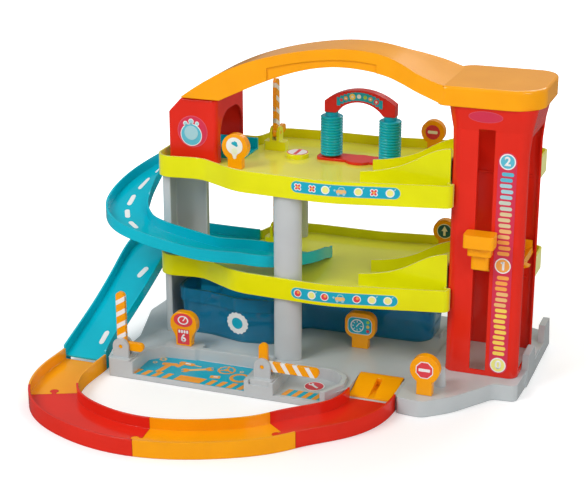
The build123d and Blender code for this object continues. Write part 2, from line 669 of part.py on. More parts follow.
# ---------------------------------------------------------------- signs
def sign(centre, z0, stem, head, head_up, thick=SIGN_THICK):
    """An upright sign: a stem, and a head made from the face given."""
    shape = Rectangle(stem, head_up, align=(Align.CENTER, Align.MIN)) + Pos(0, head_up) * head
    plane = Plane((centre[0], centre[1] - thick / 2, z0), x_dir=(1, 0, 0), z_dir=(0, -1, 0))
    solid = extrude(plane * shape, -thick)
    front = solid.faces().sort_by(Axis.Y)[0]
    return fillet(front.edges(), 0.7)


def fuel_pump():
    """The fuel pump beside the left bay, broad at the top and waisted above its foot."""
    shape = outline([(-12, 0, 0.8), (12, 0, 0.8), (13, 15, 24), (21, 28, 14), (21, 53, 17),
                     (-21, 53, 17), (-21, 28, 14), (-13, 15, 24)])
    plane = Plane((-187, 33, BORDER_TOP), x_dir=(1, 0, 0), z_dir=(0, -1, 0))
    solid = extrude(plane * shape, -SIGN_THICK)
    front = solid.faces().sort_by(Axis.Y)[0]
    return fillet(front.edges(), 0.7)


# ---------------------------------------------------------------- car wash
def wash_base():
    """The foot of the car wash and its two upright spindles."""
    floor = DECK_FLOOR + DECK_PITCH
    foot = rounded_block((WASH_X[0] - 20, WASH_X[1] + 20), (WASH_Y - 16, WASH_Y + 16),
                         (floor, floor + 4), 8)
    foot += rod(((WASH_X[0] + WASH_X[1]) / 2, WASH_Y - 4), 22, floor, floor + 4)
    foot += rod((WASH_X[0], WASH_Y), 8, floor, floor + 6)
    foot += rod((WASH_X[1], WASH_Y), 8, floor, floor + 6)
    for x in WASH_X:
        foot += rod((x, WASH_Y), SPINDLE_R, floor, floor + 80)
    return foot


def wash_roller(x):
    """One ribbed roller, turning on its spindle."""
    floor = DECK_FLOOR + DECK_PITCH
    low, high = floor + 6.3, floor + 66
    bore = SPINDLE_R + PIVOT_GAP
    pitch = (high - low) / ROLLER_RIBS
    points = [(bore, low)]
    for k in range(ROLLER_RIBS):
        z = low + k * pitch
        points += [(ROLLER_R - 1.6, z), (ROLLER_R, z + pitch * 0.3), (ROLLER_R, z + pitch * 0.7)]
    points += [(ROLLER_R - 1.6, high), (9.5, high), (9.5, high + 5.5), (bore, high + 5.5)]
    face = Plane.XZ * make_face(Polyline(*points, close=True))
    return Pos(x, WASH_Y, 0) * revolve(face, Axis.Z, 360)


def wash_arch():
    """The arched top of the car wash that caps both spindles."""
    floor = DECK_FLOOR + DECK_PITCH
    low = floor + 72
    half = (WASH_X[1] - WASH_X[0]) / 2
    middle = sum(WASH_X) / 2
    ends = (middle - half - 9, middle - half + 9, middle + half - 9, middle + half + 9)
    outer_top = ThreePointArc((ends[0], low + 17), (middle, low + 36), (ends[3], low + 17))
    inner_top = ThreePointArc((ends[2], low), (middle, low + 18), (ends[1], low))
    right = Polyline((ends[3], low + 17), (ends[3], low), (ends[2], low))
    left = Polyline((ends[1], low), (ends[0], low), (ends[0], low + 17))
    face = make_face(Curve() + [outer_top, right, inner_top, left])
    arch = side_profile(face, WASH_Y - 8, WASH_Y + 8)
    for x in WASH_X:
        arch -= rod((x, WASH_Y), SPINDLE_R, low - 1, floor + 80)
    return arch


# ---------------------------------------------------------------- storage bin
BIN_EDGE = [(BIN_X[0], 94, 22), (-172, 94, 40), (-116, 80, 50), (-62, 90, 16), (-48, 168, 24),
            (BIN_X[1], 172, 34), (BIN_X[1], BIN_BACK, 20), (BIN_X[0], BIN_BACK, 20)]


def storage_bin():
    """The see-through tub under the first deck, pulled out to the back."""
    edge = outline(BIN_EDGE)
    foot = grown(edge, -7)
    body = loft([Pos(0, 0, PLATE_TOP) * foot, Pos(0, 0, BIN_TOP - 20) * grown(edge, -3)])
    inside = loft([Pos(0, 0, PLATE_TOP + BIN_WALL) * grown(edge, -7 - BIN_WALL),
                   Pos(0, 0, BIN_TOP - 20) * grown(edge, -3 - BIN_WALL)])
    band = slab(edge, BIN_TOP - 20, BIN_TOP) - slab(grown(edge, -BIN_WALL - 3), BIN_TOP - 20, BIN_TOP)
    return body - inside + band


# ---------------------------------------------------------------- barriers
def barrier_arm(pivot, along_y, arm_turn, mirror_tab=False):
    """A barrier: striped arm, lift tab square to it, and two trunnions."""
    side = -1 if mirror_tab else 1
    hub = Circle(8)
    arm = Pos(ARM_LENGTH / 2, 0) * RectangleRounded(ARM_LENGTH + 10, ARM_WIDTH, 6.5)
    tab = Pos(0, side * TAB_LENGTH / 2) * RectangleRounded(ARM_WIDTH - 1, TAB_LENGTH + 8, 6)
    shape = Rot(0, 0, arm_turn) * (hub + arm + tab)
    normal = (0, -1, 0) if along_y else (1, 0, 0)
    across = (1, 0, 0) if along_y else (0, 1, 0)
    plane = Plane(pivot, x_dir=across, z_dir=normal)
    solid = extrude(plane * shape, ARM_THICK / 2, both=True)
    return solid + extrude(plane * Circle(TRUNNION_R), LUG_SLOT / 2 + CHEEK - 0.5, both=True)


# ---------------------------------------------------------------- everything in place
def main():
    """Write every sub-part."""
    save(base_plate(), "base_plate")
    for level, name in enumerate(("deck_lower", "deck_upper")):
        save(deck(level), name)
    floor_1, floor_2 = DECK_FLOOR, DECK_FLOOR + DECK_PITCH
    save(oval_column(COLUMN_FRONT, PLATE_TOP, floor_1 - WALL), "front_column_lower")
    save(oval_column(COLUMN_FRONT, floor_1, floor_2 - WALL), "front_column_upper")
    save(oval_column(COLUMN_REAR, floor_1, floor_2 - WALL), "rear_column")
    lower_path = [(-232, 92), (-241, 92), (-241, 198), (-232, 198)]
    upper_path = [(-230, 92), (-241, 92), (-241, 137), (-186, 137), (-186, 127)]
    save(channel_column(lower_path, WALL, PLATE_TOP, floor_1 - WALL), "left_column_lower")
    save(channel_column(upper_path, WALL, floor_1, floor_2 - WALL), "left_column_upper")
    save(tower_front(), "tower_front")
    save(tower_rear(), "tower_rear")
    save(lift_platform(), "lift_platform")
    save(lift_knob(), "lift_knob")
    save(handle_arch(), "handle_arch")
    save(tunnel_house(), "tunnel_house")
    save(upper_ramp(), "upper_ramp")
    save(lower_ramp(), "lower_ramp")
    for name, piece in track_pieces().items():
        save(piece, name)
    save(entry_ramp(), "entry_ramp")
    save(fuel_pump(), "fuel_pump")
    round_head = Circle(21)
    save(sign((58, 133), PLATE_TOP, 25, Pos(0, 18) * RectangleRounded(47, 40, 14), 18), "meter_sign")
    save(sign((194, -2), LOBE_TOP, 22, Pos(0, 18) * round_head, 20), "stop_sign")
    save(sign((150, 262), floor_1, 18, Pos(0, 16) * Circle(18), 22), "arrow_sign")
    save(sign((122, 280), floor_2, 16, Pos(0, 14) * Circle(18), 18), "no_entry_sign")
    save(sign((-126, 100), floor_2, 22, Pos(0, 16) * Circle(20), 16), "pin_sign")
    save(wash_base(), "wash_base")
    save(wash_arch(), "wash_arch")
    save(wash_roller(WASH_X[0]), "wash_roller_left")
    save(wash_roller(WASH_X[1]), "wash_roller_right")
    save(storage_bin(), "storage_bin")
    left = (LEFT_POST[0], LEFT_POST[1], GROUND_PIVOT_Z)
    middle = (MIDDLE_POST[0], MIDDLE_POST[1], GROUND_PIVOT_Z)
    save(barrier_arm(left, True, 90, mirror_tab=True), "barrier_arm_left")
    save(barrier_arm(middle, True, 0), "barrier_arm_middle")
    for floor, name in ((floor_1, "barrier_arm_deck_lower"), (floor_2, "barrier_arm_deck_upper")):
        save(barrier_arm((DECK_POST[0], DECK_POST[1], floor + DECK_PIVOT_UP), False, 90,
                         mirror_tab=True), name)


main()
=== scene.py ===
"""Looks of the toy parking garage: moulded plastic, printed labels, floor, light and camera.

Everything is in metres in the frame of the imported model. Each sub-assembly is a class that
holds the sizes of its own labels and trims and builds them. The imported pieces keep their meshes
and only get their plastic here.
"""
import json
import logging
import math
from dataclasses import dataclass, field
from enum import Enum

import bpy
from mathutils import Matrix, Vector

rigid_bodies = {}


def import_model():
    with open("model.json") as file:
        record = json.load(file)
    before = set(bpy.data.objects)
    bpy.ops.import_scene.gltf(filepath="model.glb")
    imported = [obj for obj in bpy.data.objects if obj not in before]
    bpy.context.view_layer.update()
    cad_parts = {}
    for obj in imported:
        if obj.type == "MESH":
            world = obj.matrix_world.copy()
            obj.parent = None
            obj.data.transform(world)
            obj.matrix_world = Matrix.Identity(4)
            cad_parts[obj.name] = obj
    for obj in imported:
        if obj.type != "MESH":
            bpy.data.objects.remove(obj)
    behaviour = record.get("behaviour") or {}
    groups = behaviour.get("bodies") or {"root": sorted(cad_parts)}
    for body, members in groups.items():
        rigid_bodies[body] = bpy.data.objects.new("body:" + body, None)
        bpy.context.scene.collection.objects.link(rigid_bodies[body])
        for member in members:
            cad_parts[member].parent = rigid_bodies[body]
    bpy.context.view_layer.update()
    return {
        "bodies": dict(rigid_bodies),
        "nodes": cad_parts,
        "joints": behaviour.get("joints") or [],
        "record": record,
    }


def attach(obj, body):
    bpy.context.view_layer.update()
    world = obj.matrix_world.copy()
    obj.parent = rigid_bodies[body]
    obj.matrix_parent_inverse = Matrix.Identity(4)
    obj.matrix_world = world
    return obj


logging.basicConfig(level=logging.INFO, format="%(message)s")
LOG = logging.getLogger("garage")

FILM = 0.00016            # thickness of one printed layer
FILM_GAP = 0.00006        # air under the lowest layer
FILM_STEP = 0.00014       # how much higher each further layer lies

FULL_DISC = 40            # points round a large printed disc
SMALL_DISC = 24           # points round a small one
DOT = 16                  # points round a dot

Colour = tuple[float, float, float]
Place = tuple[float, float, float]


# ------------------------------------------------------------------ finishes
class Recipe:
    """A node material in the making, with patterns on the piece's own coordinates."""

    def __init__(self, name: str) -> None:
        """Start a new node material.

        Args:
            name: The name of the material.
        """
        self.material = bpy.data.materials.new(name)
        self.material.use_nodes = True
        self.nodes = self.material.node_tree.nodes
        self.links = self.material.node_tree.links
        self.shader = self.nodes["Principled BSDF"]
        self.place = self.nodes.new("ShaderNodeTexCoord")

    def constants(self, values: dict[str, float | tuple[float, ...]]) -> None:
        """Set the shader's sockets that are the same all over the piece."""
        for socket, value in values.items():
            self.shader.inputs[socket].default_value = value

    def noise(self, scale: float, detail: float = 2.0) -> bpy.types.NodeSocket:
        """Add a noise pattern.

        Args:
            scale: How many features the pattern has to the metre.
            detail: How many finer layers it has.

        Returns:
            The socket that gives its strength, from 0 to 1.
        """
        pattern = self.nodes.new("ShaderNodeTexNoise")
        pattern.inputs["Scale"].default_value = scale
        pattern.inputs["Detail"].default_value = detail
        self.links.new(self.place.outputs["Object"], pattern.inputs["Vector"])
        return pattern.outputs["Fac"]

    def tint(self, pattern: bpy.types.NodeSocket, colour: Colour, dark: float, light: float,
             spread: tuple[float, float] = (0.0, 1.0)) -> None:
        """Let the colour vary a little with a pattern.

        Args:
            pattern: The pattern's strength.
            colour: The middle colour.
            dark: Share of the colour where the pattern is weak.
            light: Share of the colour where it is strong.
            spread: Strengths at which these two are reached.
        """
        ramp = self.nodes.new("ShaderNodeValToRGB")
        for element, position, share in zip(ramp.color_ramp.elements, spread, (dark, light)):
            element.position = position
            element.color = (*[min(1.0, c * share) for c in colour], 1.0)
        self.links.new(pattern, ramp.inputs["Fac"])
        self.links.new(ramp.outputs["Color"], self.shader.inputs["Base Color"])

    def polish(self, pattern: bpy.types.NodeSocket, shiny: float, dull: float) -> None:
        """Let the roughness vary a little with a pattern.

        Args:
            pattern: The pattern's strength.
            shiny: Roughness where the pattern is weak.
            dull: Roughness where it is strong.
        """
        between = self.nodes.new("ShaderNodeMapRange")
        between.inputs["To Min"].default_value = shiny
        between.inputs["To Max"].default_value = dull
        self.links.new(pattern, between.inputs["Value"])
        self.links.new(between.outputs["Result"], self.shader.inputs["Roughness"])

    def skin(self, edge: float, grain: bpy.types.NodeSocket, strength: float,
             depth: float) -> None:
        """Soften the edges and press a fine grain into the surface.

        Args:
            edge: Radius of the moulded edges.
            grain: The grain's pattern.
            strength: How much of the grain shows.
            depth: How deep the grain is.
        """
        rounding = self.nodes.new("ShaderNodeBevel")
        rounding.samples = 4
        rounding.inputs["Radius"].default_value = edge
        bump = self.nodes.new("ShaderNodeBump")
        bump.inputs["Strength"].default_value = strength
        bump.inputs["Distance"].default_value = depth
        self.links.new(grain, bump.inputs["Height"])
        self.links.new(rounding.outputs["Normal"], bump.inputs["Normal"])
        self.links.new(bump.outputs["Normal"], self.shader.inputs["Normal"])


@dataclass(frozen=True)
class Finish:
    """A named material of one colour, made on its first use."""

    name: str
    colour: Colour

    def build(self) -> bpy.types.Material:
        """Give the node material, made the first time only.

        Returns:
            The material.
        """
        if self.name not in bpy.data.materials:
            self._mix(Recipe(self.name))
        return bpy.data.materials[self.name]

    def _mix(self, recipe: Recipe) -> None:
        """Fill in the new material."""
        raise NotImplementedError


@dataclass(frozen=True)
class Plastic(Finish):
    """Shiny moulded plastic with a faint flow pattern and soft moulded edges."""

    roughness: float = 0.16
    edge: float = 0.0009
    sheen: float = 0.0

    def _mix(self, recipe: Recipe) -> None:
        """Set the gloss, the flow marks and the fine grain.

        Args:
            recipe: The new material.
        """
        recipe.constants({
            "Coat Weight": 0.12, "Coat Roughness": 0.05, "Specular IOR Level": 0.38, "IOR": 1.5,
            "Sheen Weight": self.sheen, "Sheen Roughness": 0.3,
            "Sheen Tint": (1.0, 1.0, 0.86, 1.0), "Subsurface Weight": 0.06,
            "Subsurface Radius": (0.004, 0.003, 0.002), "Subsurface Scale": 0.5})
        flow = recipe.noise(14.0, 3.0)
        recipe.tint(flow, self.colour, 0.94, 1.04, (0.3, 0.7))
        recipe.polish(flow, self.roughness * 0.8, self.roughness * 1.25)
        recipe.skin(self.edge, recipe.noise(420.0), 0.035, 0.0002)


@dataclass(frozen=True)
class ClearPlastic(Finish):
    """See-through coloured plastic, as on the storage bin."""

    def _mix(self, recipe: Recipe) -> None:
        """Set the see-through body and its flow marks.

        Args:
            recipe: The new material.
        """
        recipe.constants({"Transmission Weight": 0.72, "IOR": 1.45, "Coat Weight": 0.3})
        flow = recipe.noise(18.0)
        recipe.tint(flow, self.colour, 0.85, 1.15)
        recipe.polish(flow, 0.03, 0.08)


@dataclass(frozen=True)
class Ink(Finish):
    """Printed vinyl film, a little duller than the plastic under it."""

    def _mix(self, recipe: Recipe) -> None:
        """Set the dull face with its fine printing grain.

        Args:
            recipe: The new material.
        """
        recipe.constants({"Specular IOR Level": 0.45})
        press = recipe.noise(900.0, 1.0)
        recipe.tint(press, self.colour, 0.95, 1.03)
        recipe.polish(press, 0.26, 0.38)


GREY = Plastic("grey_moulding", (0.53, 0.565, 0.575), roughness=0.20, edge=0.0016)
LIME = Plastic("lime_moulding", (0.79, 0.79, 0.002), roughness=0.12, edge=0.0014, sheen=1.0)
RED = Plastic("red_moulding", (0.76, 0.022, 0.009), roughness=0.17, edge=0.0018)
ORANGE = Plastic("orange_moulding", (0.98, 0.38, 0.003), roughness=0.15, edge=0.0016)
TEAL = Plastic("teal_moulding", (0.0, 0.47, 0.60), roughness=0.15, edge=0.0013)
CLEAR_BLUE = ClearPlastic("clear_blue_moulding", (0.02, 0.47, 0.78))

WHITE = Ink("white_ink", (0.86, 0.87, 0.86))
TEAL_INK = Ink("teal_ink", (0.0, 0.40, 0.56))
LIGHT_TEAL = Ink("light_teal_ink", (0.10, 0.48, 0.62))
DEEP_TEAL = Ink("deep_teal_ink", (0.0, 0.11, 0.20))
PALE_TEAL = Ink("pale_teal_ink", (0.36, 0.62, 0.68))
ORANGE_INK = Ink("orange_ink", (0.90, 0.35, 0.03))
LIGHT_ORANGE = Ink("light_orange_ink", (0.93, 0.39, 0.07))
PEACH = Ink("peach_ink", (0.86, 0.50, 0.18))
BEIGE = Ink("beige_ink", (0.72, 0.58, 0.32))
STONE = Ink("stone_ink", (0.56, 0.62, 0.52))
PINK = Ink("pink_ink", (0.72, 0.10, 0.15))
CREAM = Ink("cream_ink", (0.80, 0.86, 0.66))
YELLOW = Ink("yellow_ink", (0.93, 0.66, 0.10))
PALE_YELLOW = Ink("pale_yellow_ink", (0.86, 0.83, 0.24))
RED_INK = Ink("red_ink", (0.75, 0.05, 0.07))
ROSE = Ink("rose_ink", (0.66, 0.026, 0.075))
GREEN_INK = Ink("green_ink", (0.42, 0.68, 0.06))


# ------------------------------------------------------------------ modelling steps
class Bench:
    """Modelling steps that all the sub-assemblies share."""

    @staticmethod
    def clear() -> None:
        """Deselect every object."""
        bpy.ops.object.select_all(action="DESELECT")

    @staticmethod
    def pick(*objects: bpy.types.Object) -> None:
        """Select some objects only.

        Args:
            objects: The objects; the first one becomes the active one.
        """
        Bench.clear()
        for one in objects:
            one.select_set(True)
        bpy.context.view_layer.objects.active = objects[0]

    @staticmethod
    def apply_modifiers(obj: bpy.types.Object) -> None:
        """Apply all the modifiers of an object.

        Args:
            obj: The object; its modifiers are applied in their order.
        """
        Bench.pick(obj)
        for name in [modifier.name for modifier in obj.modifiers]:
            bpy.ops.object.modifier_apply(modifier=name)

    @staticmethod
    def settle(obj: bpy.types.Object) -> None:
        """Move an object's place into its mesh."""
        Bench.pick(obj)
        bpy.ops.object.transform_apply(location=True, rotation=True, scale=True)

    @staticmethod
    def join(name: str, objects: list[bpy.types.Object]) -> bpy.types.Object:
        """Join meshes into one piece.

        Args:
            name: The name of the piece.
            objects: The meshes, already in place.

        Returns:
            The joined object.
        """
        Bench.pick(*objects)
        if len(objects) > 1:
            bpy.ops.object.join()
        objects[0].name = name
        objects[0].data.name = name
        return objects[0]

    @staticmethod
    def paint(obj: bpy.types.Object, finish: Finish) -> None:
        """Give the whole mesh one finish."""
        obj.data.materials.clear()
        obj.data.materials.append(finish.build())

    @staticmethod
    def keep_side(point: Vector, normal: Vector, front: bool) -> None:
        """Cut the mesh in edit mode with a plane and close the side that stays.

        Args:
            point: A point of the plane.
            normal: The plane's normal.
            front: True keeps the side that the normal points to.
        """
        bpy.ops.mesh.select_all(action="SELECT")
        bpy.ops.mesh.bisect(plane_co=point, plane_no=normal, clear_inner=front,
                            clear_outer=not front, use_fill=True)


class Facing(Enum):
    """Which way a label looks, as its right and its up direction."""

    FRONT = ((1.0, 0.0, 0.0), (0.0, 0.0, 1.0))
    UP = ((1.0, 0.0, 0.0), (0.0, 1.0, 0.0))


@dataclass(frozen=True)
class Sheet:
    """A flat place to draw on: its middle and the way it faces."""

    middle: Place
    facing: Facing = Facing.FRONT

    def matrix(self) -> Matrix:
        """Work out the turn and place of the sheet.

        Returns:
            The matrix; its third axis points out of the print.
        """
        right, up = (Vector(way) for way in self.facing.value)
        turned = Matrix((right, up, right.cross(up))).transposed().to_4x4()
        return Matrix.Translation(Vector(self.middle)) @ turned


@dataclass
class Label:
    """A printed label built up from thin shapes, each lying on the one below.

    Args:
        name: The name of the finished piece.
        sheet: Where the label is and which way it faces.
        onto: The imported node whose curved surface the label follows, if it has one.
        columns: Spacing of the cuts that let the label bend.
    """

    name: str
    sheet: Sheet
    onto: str = ""
    columns: float = 0.006
    shapes: list[bpy.types.Object] = field(default_factory=list)

    def _lay(self, obj: bpy.types.Object, layer: int, ink: Ink, x: float, y: float,
             turn: float) -> None:
        """Turn a flat shape into one thin layer of the label.

        Args:
            obj: The flat mesh, drawn round its own origin.
            layer: 0 for the backing, more for what is printed on it.
            ink: The colour.
            x: Place to the right on the sheet.
            y: Place upward on the sheet.
            turn: Turn on the sheet, in degrees.
        """
        local = Matrix.Translation((x, y, 0)) @ Matrix.Rotation(math.radians(turn), 4, "Z")
        obj.data.transform(local)
        height = FILM_GAP + layer * FILM_STEP
        Bench.pick(obj)
        if self.onto:
            self._cut_squares(obj)
            obj.matrix_world = self.sheet.matrix()
            self._wrap(obj, height)
        else:
            self._thicken(obj)
            obj.data.transform(Matrix.Translation((0, 0, height)))
            obj.matrix_world = self.sheet.matrix()
        Bench.settle(obj)
        Bench.paint(obj, ink)
        self.shapes.append(obj)

    def _thicken(self, obj: bpy.types.Object) -> None:
        """Give a flat shape the thickness of the film.

        Args:
            obj: The flat mesh, already the active object.
        """
        bpy.ops.object.mode_set(mode="EDIT")
        bpy.ops.mesh.select_all(action="SELECT")
        bpy.ops.mesh.extrude_region_move(TRANSFORM_OT_translate={"value": (0.0, 0.0, FILM)})
        bpy.ops.mesh.select_all(action="SELECT")
        bpy.ops.mesh.normals_make_consistent(inside=False)
        bpy.ops.object.mode_set(mode="OBJECT")

    def _wrap(self, obj: bpy.types.Object, height: float) -> None:
        """Press a flat shape onto the node and give it the thickness of the film.

        Args:
            obj: The flat mesh, cut up and on its sheet.
            height: How far above the node's surface it lies.
        """
        wrap = obj.modifiers.new("wrap", "SHRINKWRAP")
        wrap.target = bpy.data.objects[self.onto]
        wrap.wrap_method = "PROJECT"
        wrap.use_project_z = True
        wrap.use_negative_direction = True
        wrap.use_positive_direction = True
        wrap.offset = height
        wrap.wrap_mode = "ON_SURFACE"
        film = obj.modifiers.new("film", "SOLIDIFY")
        film.thickness = FILM
        film.offset = 1.0
        Bench.apply_modifiers(obj)

    def _cut_squares(self, obj: bpy.types.Object) -> None:
        """Cut a flat shape into squares, so that it can follow a curve.

        Args:
            obj: The flat mesh, turned and moved on its sheet.
        """
        low = [min(v.co[k] for v in obj.data.vertices) for k in (0, 1)]
        high = [max(v.co[k] for v in obj.data.vertices) for k in (0, 1)]
        bpy.ops.object.mode_set(mode="EDIT")
        for axis, normal in enumerate((Vector((1.0, 0.0, 0.0)), Vector((0.0, 1.0, 0.0)))):
            spot = math.floor(low[axis] / self.columns + 1.0) * self.columns
            while spot < high[axis] - 0.0003:
                bpy.ops.mesh.select_all(action="SELECT")
                bpy.ops.mesh.bisect(plane_co=normal * spot, plane_no=normal)
                spot += self.columns
        bpy.ops.object.mode_set(mode="OBJECT")

    def disc(self, ink: Ink, x: float, y: float, radius: float, layer: int = 1,
             points: int = FULL_DISC, turn: float = 0.0, squash: float = 1.0) -> "Label":
        """Add a filled disc, or a polygon when it has few points.

        Args:
            ink: The colour.
            x: Place to the right on the sheet.
            y: Place upward on the sheet.
            radius: The radius.
            layer: 0 for the backing, more for what is printed on it.
            points: How many points its edge has.
            turn: Turn on the sheet, in degrees.
            squash: Its height as a share of its width.

        Returns:
            The label itself.
        """
        Bench.clear()
        bpy.ops.mesh.primitive_circle_add(vertices=points, radius=radius, fill_type="NGON")
        obj = bpy.context.active_object
        obj.data.transform(Matrix.Diagonal((1.0, squash, 1.0, 1.0)))
        self._lay(obj, layer, ink, x, y, turn)
        return self

    def ringed(self, edge: Ink, ink: Ink, x: float, y: float, radius: float, rim: float,
               layer: int, points: int = FULL_DISC, turn: float = 0.0,
               squash: float = 1.0) -> "Label":
        """Add a disc with a rim of another colour.

        Args:
            edge: The colour of the rim.
            ink: The colour of the middle.
            x: Place to the right on the sheet.
            y: Place upward on the sheet.
            radius: The outer radius.
            rim: How wide the rim shows.
            layer: The layer of the rim; the middle lies one layer above it.
            points: How many points its edge has.
            turn: Turn on the sheet, in degrees.
            squash: Its height as a share of its width.

        Returns:
            The label itself.
        """
        self.disc(edge, x, y, radius, layer, points, turn, squash)
        return self.disc(ink, x, y, radius - rim, layer + 1, points, turn, squash)

    def cog(self, ink: Ink, x: float, y: float, radius: float, teeth: int, depth: float,
            layer: int = 1) -> "Label":
        """Add a disc with a toothed or scalloped edge.

        Args:
            ink: The colour.
            x: Place to the right on the sheet.
            y: Place upward on the sheet.
            radius: The radius at the tips of the teeth.
            teeth: How many teeth it has.
            depth: Depth of the teeth as a share of the radius.
            layer: 0 for the backing, more for what is printed on it.

        Returns:
            The label itself.
        """
        Bench.clear()
        bpy.ops.mesh.primitive_circle_add(vertices=teeth * 4, radius=radius, fill_type="NGON")
        obj = bpy.context.active_object
        for k, vertex in enumerate(obj.data.vertices):
            if k % 4 in (2, 3):
                vertex.co *= 1.0 - depth
        self._lay(obj, layer, ink, x, y, 0.0)
        return self

    def bar(self, ink: Ink, x: float, y: float, width: float, height: float, layer: int = 1,
            corner: float = 0.0, turn: float = 0.0, lean: float = 0.0) -> "Label":
        """Add a bar.

        Args:
            ink: The colour.
            x: Place to the right on the sheet.
            y: Place upward on the sheet.
            width: Its width.
            height: Its height.
            layer: 0 for the backing, more for what is printed on it.
            corner: Radius of its corners.
            turn: Turn on the sheet, in degrees.
            lean: How far its top edge is moved sideways.

        Returns:
            The label itself.
        """
        Bench.clear()
        bpy.ops.mesh.primitive_plane_add(size=1.0)
        obj = bpy.context.active_object
        obj.data.transform(Matrix.Diagonal((width, height, 1.0, 1.0)))
        for vertex in obj.data.vertices:
            if vertex.co.y > 0:
                vertex.co.x += lean
        if corner:
            bpy.ops.object.mode_set(mode="EDIT")
            bpy.ops.mesh.select_all(action="SELECT")
            bpy.ops.mesh.bevel(offset=min(corner, 0.499 * min(width, height)), segments=6,
                               affect="VERTICES")
            bpy.ops.object.mode_set(mode="OBJECT")
        self._lay(obj, layer, ink, x, y, turn)
        return self

    def figure(self, ink: Ink, text: str, x: float, y: float, size: float,
               layer: int = 2) -> "Label":
        """Add a plain number in the round heavy figures of a toy.

        Args:
            ink: The colour.
            text: The number.
            x: Place to the right on the sheet.
            y: Place upward on the sheet.
            size: Size of the type.
            layer: 0 for the backing, more for what is printed on it.

        Returns:
            The label itself.
        """
        Bench.clear()
        bpy.ops.object.text_add()
        obj = bpy.context.active_object
        obj.data.body = text
        obj.data.size = size
        obj.data.offset = size * 0.03
        obj.data.align_x = "CENTER"
        obj.data.align_y = "CENTER"
        bpy.ops.object.convert(target="MESH")
        self._lay(bpy.context.active_object, layer, ink, x, y, 0.0)
        return self

    def finish(self, body: str) -> None:
        """Join the layers, fix the label on its body and report it.

        Args:
            body: The body that the label moves with.
        """
        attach(Bench.join(self.name, self.shapes), body)
        LOG.info("label %s: %d shapes", self.name, len(self.shapes))


# ------------------------------------------------------------------ sub-assemblies
@dataclass
class Mouldings:
    """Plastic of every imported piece."""

    frame: dict
    finishes: dict[str, Finish] = field(default_factory=lambda: {
        "grey_plastic": GREY, "lime_plastic": LIME, "red_plastic": RED,
        "orange_plastic": ORANGE, "teal_plastic": TEAL, "clear_blue": CLEAR_BLUE})

    def build(self) -> None:
        """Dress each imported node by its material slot."""
        for row in self.frame["record"]["subparts"]:
            node = self.frame["nodes"][row["node"]]
            Bench.paint(node, self.finishes[row["material_slot"]])
            LOG.info("moulding %s in %s", node.name, row["material_slot"])


@dataclass
class Tower:
    """Labels on the front of the lift tower."""

    face_y: float = 0.086
    strip_x: float = 0.2765
    strip_width: float = 0.0262
    disc_radius: float = 0.0113
    disc_rim: float = 0.0017
    figure_size: float = 0.0175
    bar_size: tuple[float, float] = (0.0170, 0.0054)
    bar_corner: float = 0.0026
    bar_wander: float = 0.0012
    bars: int = 15
    storeys: tuple[float, ...] = (0.043, 0.193, 0.343)
    faces: tuple[Ink, ...] = (PALE_YELLOW, LIGHT_ORANGE, LIGHT_TEAL)
    low_bars: tuple[Ink, ...] = (YELLOW, YELLOW, YELLOW, PEACH, LIGHT_ORANGE)
    high_bars: tuple[Ink, ...] = (LIGHT_ORANGE, PEACH, BEIGE, STONE, PALE_TEAL, LIGHT_TEAL)
    badge_place: Place = (0.2445, 0.060, 0.4035)
    badge_radii: tuple[float, float] = (0.0237, 0.0229)
    badge_squash: tuple[float, float] = (0.35, 0.33)

    def build(self) -> None:
        """Add the level strip with its bars and numbers, and the plain oval badge."""
        half = self.strip_width / 2
        low, high = self.storeys[0] - half, self.storeys[2] + half
        strip = Label("level_strip", Sheet((self.strip_x, self.face_y, 0.0)))
        strip.bar(ROSE, 0.0, (low + high) / 2, self.strip_width, high - low, 0, corner=half)
        for storey, (z, face) in enumerate(zip(self.storeys, self.faces)):
            strip.ringed(WHITE, face, 0.0, z, self.disc_radius, self.disc_rim, 1)
            self._number(strip, storey, z)
        self._bars(strip, 0, self.low_bars)
        self._bars(strip, 1, self.high_bars)
        strip.finish("garage")
        badge = Label("tower_badge", Sheet(self.badge_place), "tower_front")
        for layer, (ink, radius, squash) in enumerate(
                zip((PINK, ROSE), self.badge_radii, self.badge_squash)):
            badge.disc(ink, 0.0, 0.0, radius, layer, squash=squash)
        badge.finish("garage")

    def _number(self, strip: Label, storey: int, z: float) -> None:
        """Add the storey's number; the 1 is drawn with a stem and a flag.

        Args:
            strip: The label the number belongs to.
            storey: The storey.
            z: The height of the number's middle.
        """
        if storey == 1:
            strip.bar(WHITE, 0.0008, z, 0.0033, 0.0126, 3, corner=0.0004)
            strip.bar(WHITE, -0.0014, z + 0.0045, 0.0030, 0.0026, 3, turn=28)
        else:
            strip.figure(WHITE, str(storey), 0.0, z, self.figure_size, 3)

    def _bars(self, strip: Label, storey: int, inks: tuple[Ink, ...]) -> None:
        """Add the ladder of short bars above one storey's disc.

        Args:
            strip: The label the bars belong to.
            storey: The storey under the bars.
            inks: The colours, from the lowest bar up.
        """
        low, high = self.storeys[storey], self.storeys[storey + 1]
        pitch = (high - low - 2 * self.disc_radius) / (self.bars + 0.6)
        for k in range(self.bars):
            z = low + self.disc_radius + pitch * (k + 0.8)
            ink = inks[k * len(inks) // self.bars]
            strip.bar(ink, self.bar_wander * math.sin(k * 1.9), z, *self.bar_size, 1,
                      corner=self.bar_corner)


class Mark(Enum):
    """The small pictures printed along a deck's rim."""

    FLOWER = "flower"
    BALL = "ball"
    LEMON = "lemon"
    CAR = "car"


